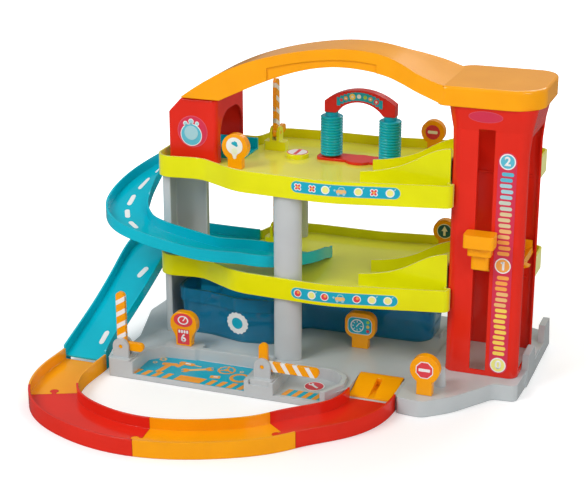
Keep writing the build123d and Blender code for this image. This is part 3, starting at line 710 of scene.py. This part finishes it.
@dataclass
class Decks:
    """Labels on the rims of the two decks, and the landing pad on the upper one."""

    strip_x: float = 0.058
    strip_y: float = 0.030
    upper_z: float = 0.291
    lower_z: float = 0.1315
    length: float = 0.155
    height: float = 0.0178
    corner: float = 0.0088
    border: float = 0.0007
    spots: tuple[float, ...] = (-0.0667, -0.0452, -0.0259, -0.0034, 0.0200, 0.0413, 0.0632)
    upper: tuple[Mark, ...] = (Mark.FLOWER, Mark.FLOWER, Mark.LEMON, Mark.CAR, Mark.LEMON,
                               Mark.FLOWER, Mark.LEMON)
    lower: tuple[Mark, ...] = (Mark.BALL, Mark.LEMON, Mark.BALL, Mark.CAR, Mark.BALL,
                               Mark.LEMON, Mark.LEMON)
    pad_place: Place = (-0.062, 0.186, 0.297)
    pad_radius: float = 0.0158
    pad_rim: float = 0.0014

    def build(self) -> None:
        """Add the rounded strips on the rims and the landing pad."""
        self._rim_strip("deck_label_upper", "deck_upper", self.upper_z, self.upper)
        self._rim_strip("deck_label_lower", "deck_lower", self.lower_z, self.lower)
        pad = Label("landing_pad_label", Sheet(self.pad_place, Facing.UP))
        pad.ringed(RED_INK, WHITE, 0, 0, self.pad_radius, self.pad_rim, 0)
        pad.bar(RED_INK, 0, 0, 0.0052, 0.0262, 2)
        pad.finish("garage")

    def _rim_strip(self, name: str, node: str, z: float, marks: tuple[Mark, ...]) -> None:
        """Add one teal strip with its row of marks along a deck's front rim.

        Args:
            name: The name of the label.
            node: The deck it is stuck on.
            z: The height of its middle.
            marks: The marks from left to right.
        """
        strip = Label(name, Sheet((self.strip_x, self.strip_y, z)), node)
        strip.bar(PALE_YELLOW, 0, 0, self.length, self.height, 0, corner=self.corner)
        strip.bar(TEAL_INK, 0, 0, self.length - 2 * self.border, self.height - 2 * self.border,
                  1, corner=self.corner - self.border)
        draw = {Mark.FLOWER: self._flower, Mark.BALL: self._ball, Mark.LEMON: self._lemon,
                Mark.CAR: self._car}
        for x, mark in zip(self.spots, marks):
            draw[mark](strip, x)
        strip.finish("garage")

    def _flower(self, strip: Label, x: float) -> None:
        """Add a red cross of four petals with a white edge.

        Args:
            strip: The label.
            x: Place along the strip.
        """
        for side, up in ((-1, -1), (-1, 1), (1, -1), (1, 1)):
            strip.disc(WHITE, x + side * 0.0026, up * 0.0026, 0.0027, 2, points=DOT)
        for turn in (-45, 45):
            strip.bar(RED_INK, x, 0, 0.0030, 0.0098, 3, corner=0.0013, turn=turn)
        strip.disc(LIGHT_ORANGE, x, 0, 0.0020, 4, points=DOT)

    def _ball(self, strip: Label, x: float) -> None:
        """Add a red ball with a bright spot."""
        strip.ringed(WHITE, RED_INK, x, 0, 0.0060, 0.0013, 2, points=SMALL_DISC)
        strip.disc(LIGHT_ORANGE, x + 0.0010, 0.0014, 0.0021, 4, points=DOT)

    def _lemon(self, strip: Label, x: float) -> None:
        """Add a pale yellow fruit with a leaf."""
        strip.ringed(WHITE, PALE_YELLOW, x, 0, 0.0061, 0.0016, 2, points=SMALL_DISC)
        strip.bar(PALE_TEAL, x + 0.0066, 0.0050, 0.0015, 0.0034, 2, turn=-40)

    def _car(self, strip: Label, x: float) -> None:
        """Add a little orange car with a pale puff behind it.

        Args:
            strip: The label.
            x: Place along the strip.
        """
        strip.bar(PALE_TEAL, x + 0.0004, 0.0022, 0.0088, 0.0072, 2, corner=0.0032)
        strip.bar(TEAL_INK, x + 0.0004, 0.0022, 0.0068, 0.0052, 3, corner=0.0024)
        strip.bar(PEACH, x, -0.0012, 0.0140, 0.0062, 4, corner=0.0028)
        for side in (-1, 1):
            strip.disc(PALE_TEAL, x + side * 0.0038, -0.0045, 0.0020, 5, points=DOT)
        strip.disc(PALE_TEAL, x - 0.0092, 0.0006, 0.0016, 2, points=DOT)


@dataclass
class House:
    """The plain badge on the tunnel house."""

    place: Place = (-0.1965, 0.105, 0.337)
    radius: float = 0.0238
    rim: float = 0.0010
    pool: tuple[float, float, float] = (-0.0020, -0.0050, 0.0170)
    pool_rim: float = 0.0012
    shine: tuple[float, float, float] = (-0.0020, -0.0020, 0.0108)
    bubbles: tuple[tuple[float, float, float], ...] = (
        (-0.011, 0.0115, 0.0036), (-0.002, 0.0150, 0.0042), (0.0075, 0.0125, 0.0032))

    def build(self) -> None:
        """Add a round badge with a pool and plain bubbles, each as x, y and radius."""
        badge = Label("house_badge", Sheet(self.place))
        badge.ringed(PINK, ROSE, 0, 0, self.radius, self.rim, 0)
        badge.ringed(WHITE, LIGHT_TEAL, *self.pool, self.pool_rim, 2)
        badge.disc(PALE_TEAL, *self.shine, 4)
        for bubble in self.bubbles:
            badge.ringed(WHITE, PALE_TEAL, *bubble, self.rim, 2, points=SMALL_DISC)
        badge.finish("garage")


@dataclass
class Signs:
    """Faces of the pump and of the five signs."""

    pump: Place = (-0.187, 0.033, 0.026)
    meter: Place = (0.058, 0.127, 0.056)
    stop: Place = (0.194, -0.008, 0.0620)
    arrow: Place = (0.150, 0.256, 0.174)
    no_entry: Place = (0.122, 0.274, 0.322)
    pin: Place = (-0.126, 0.094, 0.3225)
    border: float = 0.0013

    def build(self) -> None:
        """Add all the printed faces."""
        self._pump_face()
        self._meter_face()
        self._stop_face()
        self._arrow_face()
        self._no_entry_face()
        self._pin_face()

    def _pump_face(self) -> None:
        """Red dial and red counter panel of the fuel pump."""
        dial, counter = 0.0410, 0.0146
        face = Label("pump_face", Sheet(self.pump))
        face.disc(RED_INK, 0, dial, 0.0152, 0, squash=0.70)
        face.ringed(WHITE, RED_INK, 0, dial, 0.0086, 0.0022, 1, squash=0.8)
        face.bar(WHITE, 0.0018, dial + 0.0018, 0.0016, 0.0070, 3, turn=-35)
        face.bar(RED_INK, 0, counter, 0.0190, 0.0240, 0, corner=0.0012)
        for k in range(4):
            face.bar(WHITE, (k - 1.5) * 0.0042, counter + 0.0082, 0.0030, 0.0050, 1,
                     corner=0.0012)
        face.figure(WHITE, "6", 0, counter - 0.0028, 0.0170, 1)
        face.finish("garage")

    def _meter_face(self) -> None:
        """Teal panel of the meter with a dial and three lamps."""
        dial, tick_circle, ticks, lamp_pitch = -0.0040, 0.0067, 8, 0.0072
        face = Label("meter_face", Sheet(self.meter))
        face.bar(WHITE, 0, 0, 0.0376, 0.0268, 0, corner=0.0085)
        face.bar(TEAL_INK, 0, 0, 0.0358, 0.0250, 1, corner=0.0078)
        face.ringed(WHITE, TEAL_INK, dial, 0, 0.0104, 0.0016, 2)
        for k in range(ticks):
            angle = 360 / ticks * k
            x = dial + tick_circle * math.sin(math.radians(angle))
            y = tick_circle * math.cos(math.radians(angle))
            face.bar(WHITE, x, y, 0.0010, 0.0030, 4, turn=-angle)
        face.bar(WHITE, dial + 0.0010, 0.0014, 0.0012, 0.0080, 4, turn=-38)
        for k, ink in enumerate((GREEN_INK, YELLOW, RED_INK)):
            face.disc(ink, 0.0125, lamp_pitch * (1 - k), 0.0025, 2, points=SMALL_DISC)
        face.finish("garage")

    def _stop_face(self) -> None:
        """Red octagon with a white rim and a plain white bar."""
        face = Label("stop_face", Sheet(self.stop))
        face.ringed(WHITE, RED_INK, 0, 0, 0.0133, self.border, 0, points=8, turn=22.5)
        face.bar(WHITE, 0, 0, 0.0164, 0.0044, 2, corner=0.001)
        face.finish("garage")

    def _arrow_face(self) -> None:
        """Blue disc with a white arrow."""
        face = Label("arrow_face", Sheet(self.arrow))
        face.ringed(WHITE, DEEP_TEAL, 0, 0, 0.0118, self.border, 0)
        face.disc(WHITE, 0, 0.0030, 0.0056, 2, points=3)
        face.bar(WHITE, 0, -0.0032, 0.0038, 0.0078, 3)
        face.finish("garage")

    def _no_entry_face(self) -> None:
        """Red disc with a white bar."""
        face = Label("no_entry_face", Sheet(self.no_entry))
        face.disc(ROSE, 0, 0, 0.0112, 0)
        face.bar(WHITE, 0, 0, 0.0152, 0.0048, 1, corner=0.0016)
        face.finish("garage")

    def _pin_face(self) -> None:
        """White drop on a pointed foot, with a small teal car on it."""
        car_turn = -25
        face = Label("pin_face", Sheet(self.pin))
        face.bar(WHITE, 0, -0.0128, 0.0056, 0.0092, 0, corner=0.0026)
        face.disc(WHITE, 0, -0.0068, 0.0112, 1, points=3, turn=180)
        face.disc(WHITE, 0, 0.0020, 0.0128, 2)
        face.disc(CREAM, 0, -0.0058, 0.0046, 3)
        face.bar(TEAL_INK, 0.0004, 0.0046, 0.0104, 0.0040, 3, corner=0.0016, turn=car_turn)
        face.bar(TEAL_INK, 0.0016, 0.0070, 0.0056, 0.0036, 4, corner=0.0014, turn=car_turn)
        face.finish("garage")


@dataclass
class CarWash:
    """The label on the arch of the car wash."""

    place: Place = (0.033, 0.180, 0.3890)
    reach: float = 0.033
    sag: float = 0.0099
    slices: int = 13
    slice_size: tuple[float, float] = (0.0054, 0.0126)
    marks: tuple[tuple[float, Ink, float], ...] = (
        (-0.0280, RED_INK, 0.0024), (-0.0210, ORANGE_INK, 0.0030), (-0.0110, YELLOW, 0.0046),
        (-0.0010, WHITE, 0.0032), (0.0085, GREEN_INK, 0.0028), (0.0165, ORANGE_INK, 0.0030),
        (0.0255, RED_INK, 0.0040))
    smallest_ring: float = 0.0029
    hole: float = 0.42

    def build(self) -> None:
        """Add the teal panel, in slices that follow the arch, with its round marks."""
        panel = Label("wash_panel", Sheet(self.place), "wash_arch")
        for k in range(self.slices):
            x = (k - self.slices // 2) * self.slice_size[0]
            panel.bar(TEAL_INK, x, self._fall(x), *self.slice_size, 0)
        for x, ink, radius in self.marks:
            panel.disc(ink, x, self._fall(x), radius, 1, points=20)
            if radius > self.smallest_ring:
                panel.disc(WHITE, x, self._fall(x), radius * self.hole, 2, points=DOT)
        panel.finish("garage")

    def _fall(self, x: float) -> float:
        """How far the arch has fallen at a distance from its middle."""
        return -self.sag * (x / self.reach) ** 2


@dataclass
class Bays:
    """The printed mats of the two front bays."""

    floor: float = 0.008
    mat_middle: tuple[float, float] = (-0.145, -0.008)
    mat_size: tuple[float, float] = (0.172, 0.076)
    stripes: tuple[float, ...] = (-0.088, -0.072, -0.0555, -0.039, 0.030, 0.046, 0.062, 0.078)
    stripe_y: float = -0.0300
    stripe_size: tuple[float, float] = (0.0082, 0.0175)
    middle_stripe: tuple[float, float] = (-0.0035, 0.0410)
    lean: float = 0.005
    wheel: tuple[float, float] = (0.0370, 0.0170)
    wheel_radii: tuple[float, float, float] = (0.0138, 0.0106, 0.0036)
    spoke_circle: float = 0.0070
    tyre: tuple[float, float] = (0.0650, -0.0020)
    tyre_radii: tuple[float, float] = (0.0150, 0.0096)
    nuts: tuple[tuple[float, float, float], ...] = (
        (-0.0670, 0.0220, 0.0062), (-0.0740, 0.0080, 0.0038), (0.0600, 0.0190, 0.0034))
    right_middle: tuple[float, float] = (0.026, -0.030)
    right_size: tuple[float, float] = (0.0680, 0.0210)
    right_pitch: float = 0.0150
    right_sign: tuple[float, float] = (0.0044, 0.0310)

    def build(self) -> None:
        """Add the workshop mat and the stripes of the right bay."""
        mat = Label("workshop_mat", Sheet((*self.mat_middle, self.floor), Facing.UP))
        mat.bar(TEAL_INK, 0.0, -0.0018, *self.mat_size, 0)
        for x in self.stripes:
            mat.bar(ORANGE_INK, x, self.stripe_y, *self.stripe_size, 1, lean=self.lean)
        x, width = self.middle_stripe
        mat.bar(ORANGE_INK, x, self.stripe_y, width, self.stripe_size[1], 1, lean=self.lean)
        self._wheel_and_tyre(mat)
        self._spanner(mat)
        self._hammer_and_drill(mat)
        for x, y, size in self.nuts:
            mat.disc(PEACH, x, y, size, 1, points=6)
            mat.disc(TEAL_INK, x, y, size * 0.42, 2, points=DOT)
        mat.finish("garage")
        self._right_bay()

    def _wheel_and_tyre(self, mat: Label) -> None:
        """Draw the steering wheel and the tyre.

        Args:
            mat: The workshop mat.
        """
        outer, inner, hub = self.wheel_radii
        mat.cog(ORANGE_INK, *self.wheel, outer, 12, 0.08)
        mat.disc(TEAL_INK, *self.wheel, inner, 2)
        mat.disc(ORANGE_INK, *self.wheel, hub, 3, points=SMALL_DISC)
        for turn in (0, 120, 240):
            x = self.wheel[0] + self.spoke_circle * math.sin(math.radians(turn))
            y = self.wheel[1] + self.spoke_circle * math.cos(math.radians(turn))
            mat.bar(ORANGE_INK, x, y, 0.0026, 0.0080, 4, turn=-turn)
        mat.disc(ORANGE_INK, *self.tyre, self.tyre_radii[0])
        mat.disc(TEAL_INK, *self.tyre, self.tyre_radii[1], 2)

    def _spanner(self, mat: Label) -> None:
        """Draw the spanner: a shaft with an open jaw at each end.

        Args:
            mat: The workshop mat.
        """
        turn = 26
        mat.bar(PEACH, -0.0040, 0.0040, 0.0340, 0.0062, 1, corner=0.0023, turn=turn)
        for x, y, side in ((-0.0205, -0.0040, -1), (0.0125, 0.0120, 1)):
            mat.disc(ORANGE_INK, x, y, 0.0062, 2)
            mat.bar(TEAL_INK, x + side * 0.0046, y + side * 0.0022, 0.0062, 0.0042, 3, turn=turn)

    def _hammer_and_drill(self, mat: Label) -> None:
        """Draw the hammer, the drill and the small tin.

        Args:
            mat: The workshop mat.
        """
        mat.bar(ORANGE_INK, -0.0530, -0.0070, 0.0082, 0.0330, 1, corner=0.0020, turn=-12)
        mat.bar(ORANGE_INK, -0.0500, 0.0085, 0.0240, 0.0092, 2, corner=0.0040, turn=8)
        mat.bar(ORANGE_INK, -0.0265, 0.0180, 0.0250, 0.0092, 3, corner=0.0040, turn=-6)
        mat.bar(ORANGE_INK, -0.0350, 0.0090, 0.0070, 0.0130, 1, corner=0.0020, turn=-18)
        mat.bar(PEACH, -0.0090, 0.0160, 0.0130, 0.0026, 1, corner=0.0010, turn=-6)
        mat.bar(WHITE, -0.0250, 0.0185, 0.0090, 0.0034, 4, corner=0.0012, turn=-6)
        mat.bar(ORANGE_INK, 0.0300, -0.0105, 0.0150, 0.0092, 1, corner=0.0014, turn=10)
        mat.bar(WHITE, 0.0310, -0.0100, 0.0070, 0.0030, 2, corner=0.0012, turn=10)

    def _right_bay(self) -> None:
        """Striped strip in front and a round red sign behind it."""
        right = Label("right_bay_mat", Sheet((*self.right_middle, self.floor), Facing.UP))
        width, depth = self.right_size
        right.bar(TEAL_INK, 0.0020, -0.0010, width, depth, 0, lean=0.008)
        for k in range(5):
            right.bar(ORANGE_INK, -0.0270 + self.right_pitch * k, -0.0010, 0.0076, depth, 1,
                      lean=self.lean)
        right.ringed(WHITE, RED_INK, *self.right_sign, 0.0148, 0.0014, 0)
        right.bar(WHITE, *self.right_sign, 0.0170, 0.0036, 2, corner=0.0012, turn=-38)
        right.disc(WHITE, -0.0016, 0.0358, 0.0040, 3, points=SMALL_DISC)
        right.disc(RED_INK, -0.0026, 0.0370, 0.0018, 4, points=DOT)
        right.finish("garage")


@dataclass
class Ramps:
    """The white dashes on the two teal ramps."""

    square: float = 0.004
    above_lower: float = 0.30
    above_upper: float = 0.40
    lower_dashes: tuple[tuple[float, float, float], ...] = (
        (-0.2843, 0.1025, -25), (-0.3017, 0.0, -9))
    lower_size: tuple[float, float] = (0.0085, 0.0200)
    lower_corner: float = 0.0042
    bend_middle: tuple[float, float] = (-0.250, 0.1155)
    bend_radius: float = 0.0565
    bend_angles: tuple[int, ...] = (118, 148, 178, 208, 238)
    upper_size: tuple[float, float] = (0.0075, 0.0200)
    upper_corner: float = 0.0036

    def build(self) -> None:
        """Add the dashes, each one laid on its ramp's floor."""
        lower = Label("lower_ramp_dashes", Sheet((0, 0, self.above_lower), Facing.UP),
                      "lower_ramp", self.square)
        for x, y, turn in self.lower_dashes:
            lower.bar(WHITE, x, y, *self.lower_size, 0, corner=self.lower_corner, turn=turn)
        lower.finish("garage")
        upper = Label("upper_ramp_dashes", Sheet((0, 0, self.above_upper), Facing.UP),
                      "upper_ramp", self.square)
        for angle in self.bend_angles:
            x = self.bend_middle[0] + self.bend_radius * math.cos(math.radians(angle))
            y = self.bend_middle[1] + self.bend_radius * math.sin(math.radians(angle))
            upper.bar(WHITE, x, y, *self.upper_size, 0, corner=self.upper_corner, turn=angle)
        upper.finish("garage")


@dataclass
class Bin:
    """The porthole ring on the storage bin."""

    place: Place = (-0.1225, 0.060, 0.0505)
    square: float = 0.004
    radius: float = 0.0180
    scallops: int = 16
    scallop_depth: float = 0.06
    porthole: float = 0.0092

    def build(self) -> None:
        """Add the scalloped white ring with its teal middle."""
        ring = Label("bin_ring", Sheet(self.place), "storage_bin", self.square)
        ring.cog(WHITE, 0, 0, self.radius, self.scallops, self.scallop_depth, 0)
        ring.disc(TEAL_INK, 0, 0, self.porthole, 1)
        ring.finish("bin")


@dataclass(frozen=True)
class Arm:
    """A barrier arm at rest: its body, its pivot and its ways along and across."""

    node: str
    body: str
    pivot: Place
    along: Place
    across: Place


@dataclass
class Barriers:
    """The white diagonal bands round the barrier arms."""

    arms: tuple[Arm, ...] = (
        Arm("barrier_arm_left", "arm_left", (-0.254, -0.034, 0.045), (0, 0, 1), (-1, 0, 0)),
        Arm("barrier_arm_middle", "arm_middle", (-0.034, -0.032, 0.045), (1, 0, 0), (0, 0, 1)),
        Arm("barrier_arm_deck_lower", "arm_deck_lower", (-0.106, 0.213, 0.163), (0, 0, 1),
            (0, 1, 0)),
        Arm("barrier_arm_deck_upper", "arm_deck_upper", (-0.106, 0.213, 0.317), (0, 0, 1),
            (0, 1, 0)))
    bands: int = 4
    first: float = 0.0115
    stripe: float = 0.0068
    pitch: float = 0.0183
    half_arm: float = 0.00705
    lean: float = 0.62
    swell: float = 0.00018
    weld: float = 0.00001

    def build(self) -> None:
        """Band each of the arms."""
        for arm in self.arms:
            bands = [self._band(arm, self.first + k * self.pitch) for k in range(self.bands)]
            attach(Bench.join(arm.node + "_bands", bands), arm.body)
            LOG.info("bands on %s", arm.node)

    def _band(self, arm: Arm, distance: float) -> bpy.types.Object:
        """Cut a slanted slice from a copy of an arm and swell it a little.

        Args:
            arm: The arm.
            distance: How far from the pivot the slice starts.

        Returns:
            The white slice, without its own body yet.
        """
        along, across = Vector(arm.along), Vector(arm.across)
        slant = (along + across * self.lean).normalized()
        start = Vector(arm.pivot) + along * distance
        band = bpy.data.objects[arm.node].copy()
        band.data = band.data.copy()
        band.parent = None
        bpy.context.scene.collection.objects.link(band)
        Bench.pick(band)
        bpy.ops.object.mode_set(mode="EDIT")
        bpy.ops.mesh.select_all(action="SELECT")
        bpy.ops.mesh.remove_doubles(threshold=self.weld)
        Bench.keep_side(start, slant, front=True)
        Bench.keep_side(start + along * self.stripe, slant, front=False)
        for side in (-1, 1):
            Bench.keep_side(start + across * side * self.half_arm, across * side, front=False)
        bpy.ops.mesh.select_all(action="SELECT")
        bpy.ops.mesh.normals_make_consistent(inside=False)
        bpy.ops.transform.shrink_fatten(value=self.swell)
        bpy.ops.object.mode_set(mode="OBJECT")
        for key in [key for key in band.keys() if key.startswith("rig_")]:
            del band[key]
        Bench.paint(band, WHITE)
        return band


# ------------------------------------------------------------------ room
@dataclass(frozen=True)
class SoftBox:
    """A square soft light that faces the toy."""

    name: str
    place: Place
    size: float
    power: float


@dataclass
class Studio:
    """The pale floor, the soft lights, the world and the camera."""

    target: Place = (0.0, 0.0, 0.219)
    azimuth: float = 20.0
    elevation: float = 19.5
    distance: float = 2.083
    lens: float = 91.84
    lamps: tuple[SoftBox, ...] = (
        SoftBox("key_light", (-1.3, -1.7, 2.1), 1.3, 38.0),
        SoftBox("fill_light", (1.9, -1.1, 1.3), 1.1, 14.0),
        SoftBox("back_light", (0.4, 1.9, 1.9), 1.4, 16.0))
    floor_size: float = 14.0
    floor_gap: float = 0.0004
    floor_shade: float = 0.86
    floor_in_gloss: float = 0.14
    fade: tuple[float, float] = (0.25, 1.1)
    floor_lift: tuple[float, float] = (0.20, 0.75)
    room_light: float = 0.56
    room_in_gloss: float = 0.52

    def build(self) -> None:
        """Set up everything round the toy."""
        self._floor()
        self._world()
        for lamp in self.lamps:
            self._lamp(lamp)
        self._camera()
        bpy.context.scene.view_settings.view_transform = "Standard"

    def _floor(self) -> None:
        """Lay a wide pale floor that keeps the toy's shadow and fades to white round it."""
        Bench.clear()
        bpy.ops.mesh.primitive_plane_add(size=self.floor_size, location=(0, 0, -self.floor_gap))
        floor = bpy.context.active_object
        floor.name = "studio_floor"
        recipe = Recipe("studio_floor")
        recipe.constants({"Roughness": 0.5, "Specular IOR Level": 0.15,
                          "Emission Color": (1.0, 1.0, 1.0, 1.0)})
        nodes, links = recipe.nodes, recipe.links
        rays = nodes.new("ShaderNodeLightPath")
        shade = nodes.new("ShaderNodeMapRange")
        shade.inputs["To Min"].default_value = self.floor_shade
        shade.inputs["To Max"].default_value = self.floor_in_gloss
        links.new(rays.outputs["Is Glossy Ray"], shade.inputs["Value"])
        links.new(shade.outputs["Result"], recipe.shader.inputs["Base Color"])
        reach = nodes.new("ShaderNodeVectorMath")
        reach.operation = "LENGTH"
        links.new(recipe.place.outputs["Object"], reach.inputs[0])
        fade = nodes.new("ShaderNodeMapRange")
        fade.inputs["From Min"].default_value, fade.inputs["From Max"].default_value = self.fade
        fade.inputs["To Min"].default_value = self.floor_lift[0]
        fade.inputs["To Max"].default_value = self.floor_lift[1]
        links.new(reach.outputs["Value"], fade.inputs["Value"])
        lift = nodes.new("ShaderNodeMath")
        lift.operation = "MULTIPLY"
        links.new(rays.outputs["Is Camera Ray"], lift.inputs[0])
        links.new(fade.outputs["Result"], lift.inputs[1])
        links.new(lift.outputs["Value"], recipe.shader.inputs["Emission Strength"])
        floor.data.materials.append(recipe.material)

    def _world(self) -> None:
        """Make a white room, dimmer as a lamp and in reflections than to the camera."""
        world = bpy.data.worlds.new("studio_world")
        bpy.context.scene.world = world
        world.use_nodes = True
        nodes, links = world.node_tree.nodes, world.node_tree.links
        background = nodes["Background"]
        background.inputs["Color"].default_value = (1, 1, 1, 1)
        rays = nodes.new("ShaderNodeLightPath")
        seen = nodes.new("ShaderNodeMath")
        seen.operation = "MAXIMUM"
        links.new(rays.outputs["Is Camera Ray"], seen.inputs[0])
        links.new(rays.outputs["Is Transmission Ray"], seen.inputs[1])
        level = nodes.new("ShaderNodeMapRange")
        level.inputs["To Min"].default_value = self.room_light
        level.inputs["To Max"].default_value = 1.0
        links.new(seen.outputs["Value"], level.inputs["Value"])
        gloss = nodes.new("ShaderNodeMapRange")
        gloss.inputs["To Min"].default_value = 1.0
        gloss.inputs["To Max"].default_value = self.room_in_gloss
        links.new(rays.outputs["Is Glossy Ray"], gloss.inputs["Value"])
        both = nodes.new("ShaderNodeMath")
        both.operation = "MULTIPLY"
        links.new(level.outputs["Result"], both.inputs[0])
        links.new(gloss.outputs["Result"], both.inputs[1])
        links.new(both.outputs["Value"], background.inputs["Strength"])

    def _lamp(self, box: SoftBox) -> None:
        """Add one soft box that faces the toy.

        Args:
            box: The lamp's name, place, size and power.
        """
        light = bpy.data.lights.new(box.name, "AREA")
        light.shape = "SQUARE"
        light.size = box.size
        light.energy = box.power
        lamp = bpy.data.objects.new(box.name, light)
        lamp.location = box.place
        towards = Vector(self.target) - Vector(box.place)
        lamp.rotation_euler = towards.to_track_quat("-Z", "Y").to_euler()
        bpy.context.scene.collection.objects.link(lamp)

    def _camera(self) -> None:
        """Place the camera at the photograph's viewing angle."""
        turn, rise = math.radians(self.azimuth), math.radians(self.elevation)
        back = Vector((math.sin(turn) * math.cos(rise), -math.cos(turn) * math.cos(rise),
                       math.sin(rise)))
        data = bpy.data.cameras.new("camera")
        data.lens = self.lens
        data.sensor_width = 36.0
        data.clip_start = 0.05
        camera = bpy.data.objects.new("camera", data)
        camera.location = Vector(self.target) + back * self.distance
        camera.rotation_euler = (-back).to_track_quat("-Z", "Y").to_euler()
        bpy.context.scene.collection.objects.link(camera)
        bpy.context.scene.camera = camera


def main() -> None:
    """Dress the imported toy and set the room."""
    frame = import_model()
    Mouldings(frame).build()
    for assembly in (Tower(), Decks(), House(), Signs(), CarWash(), Bays(), Ramps(), Bin(),
                     Barriers()):
        assembly.build()
        LOG.info("%s done", type(assembly).__name__)
    Studio().build()


if __name__ == "__main__":
    main()
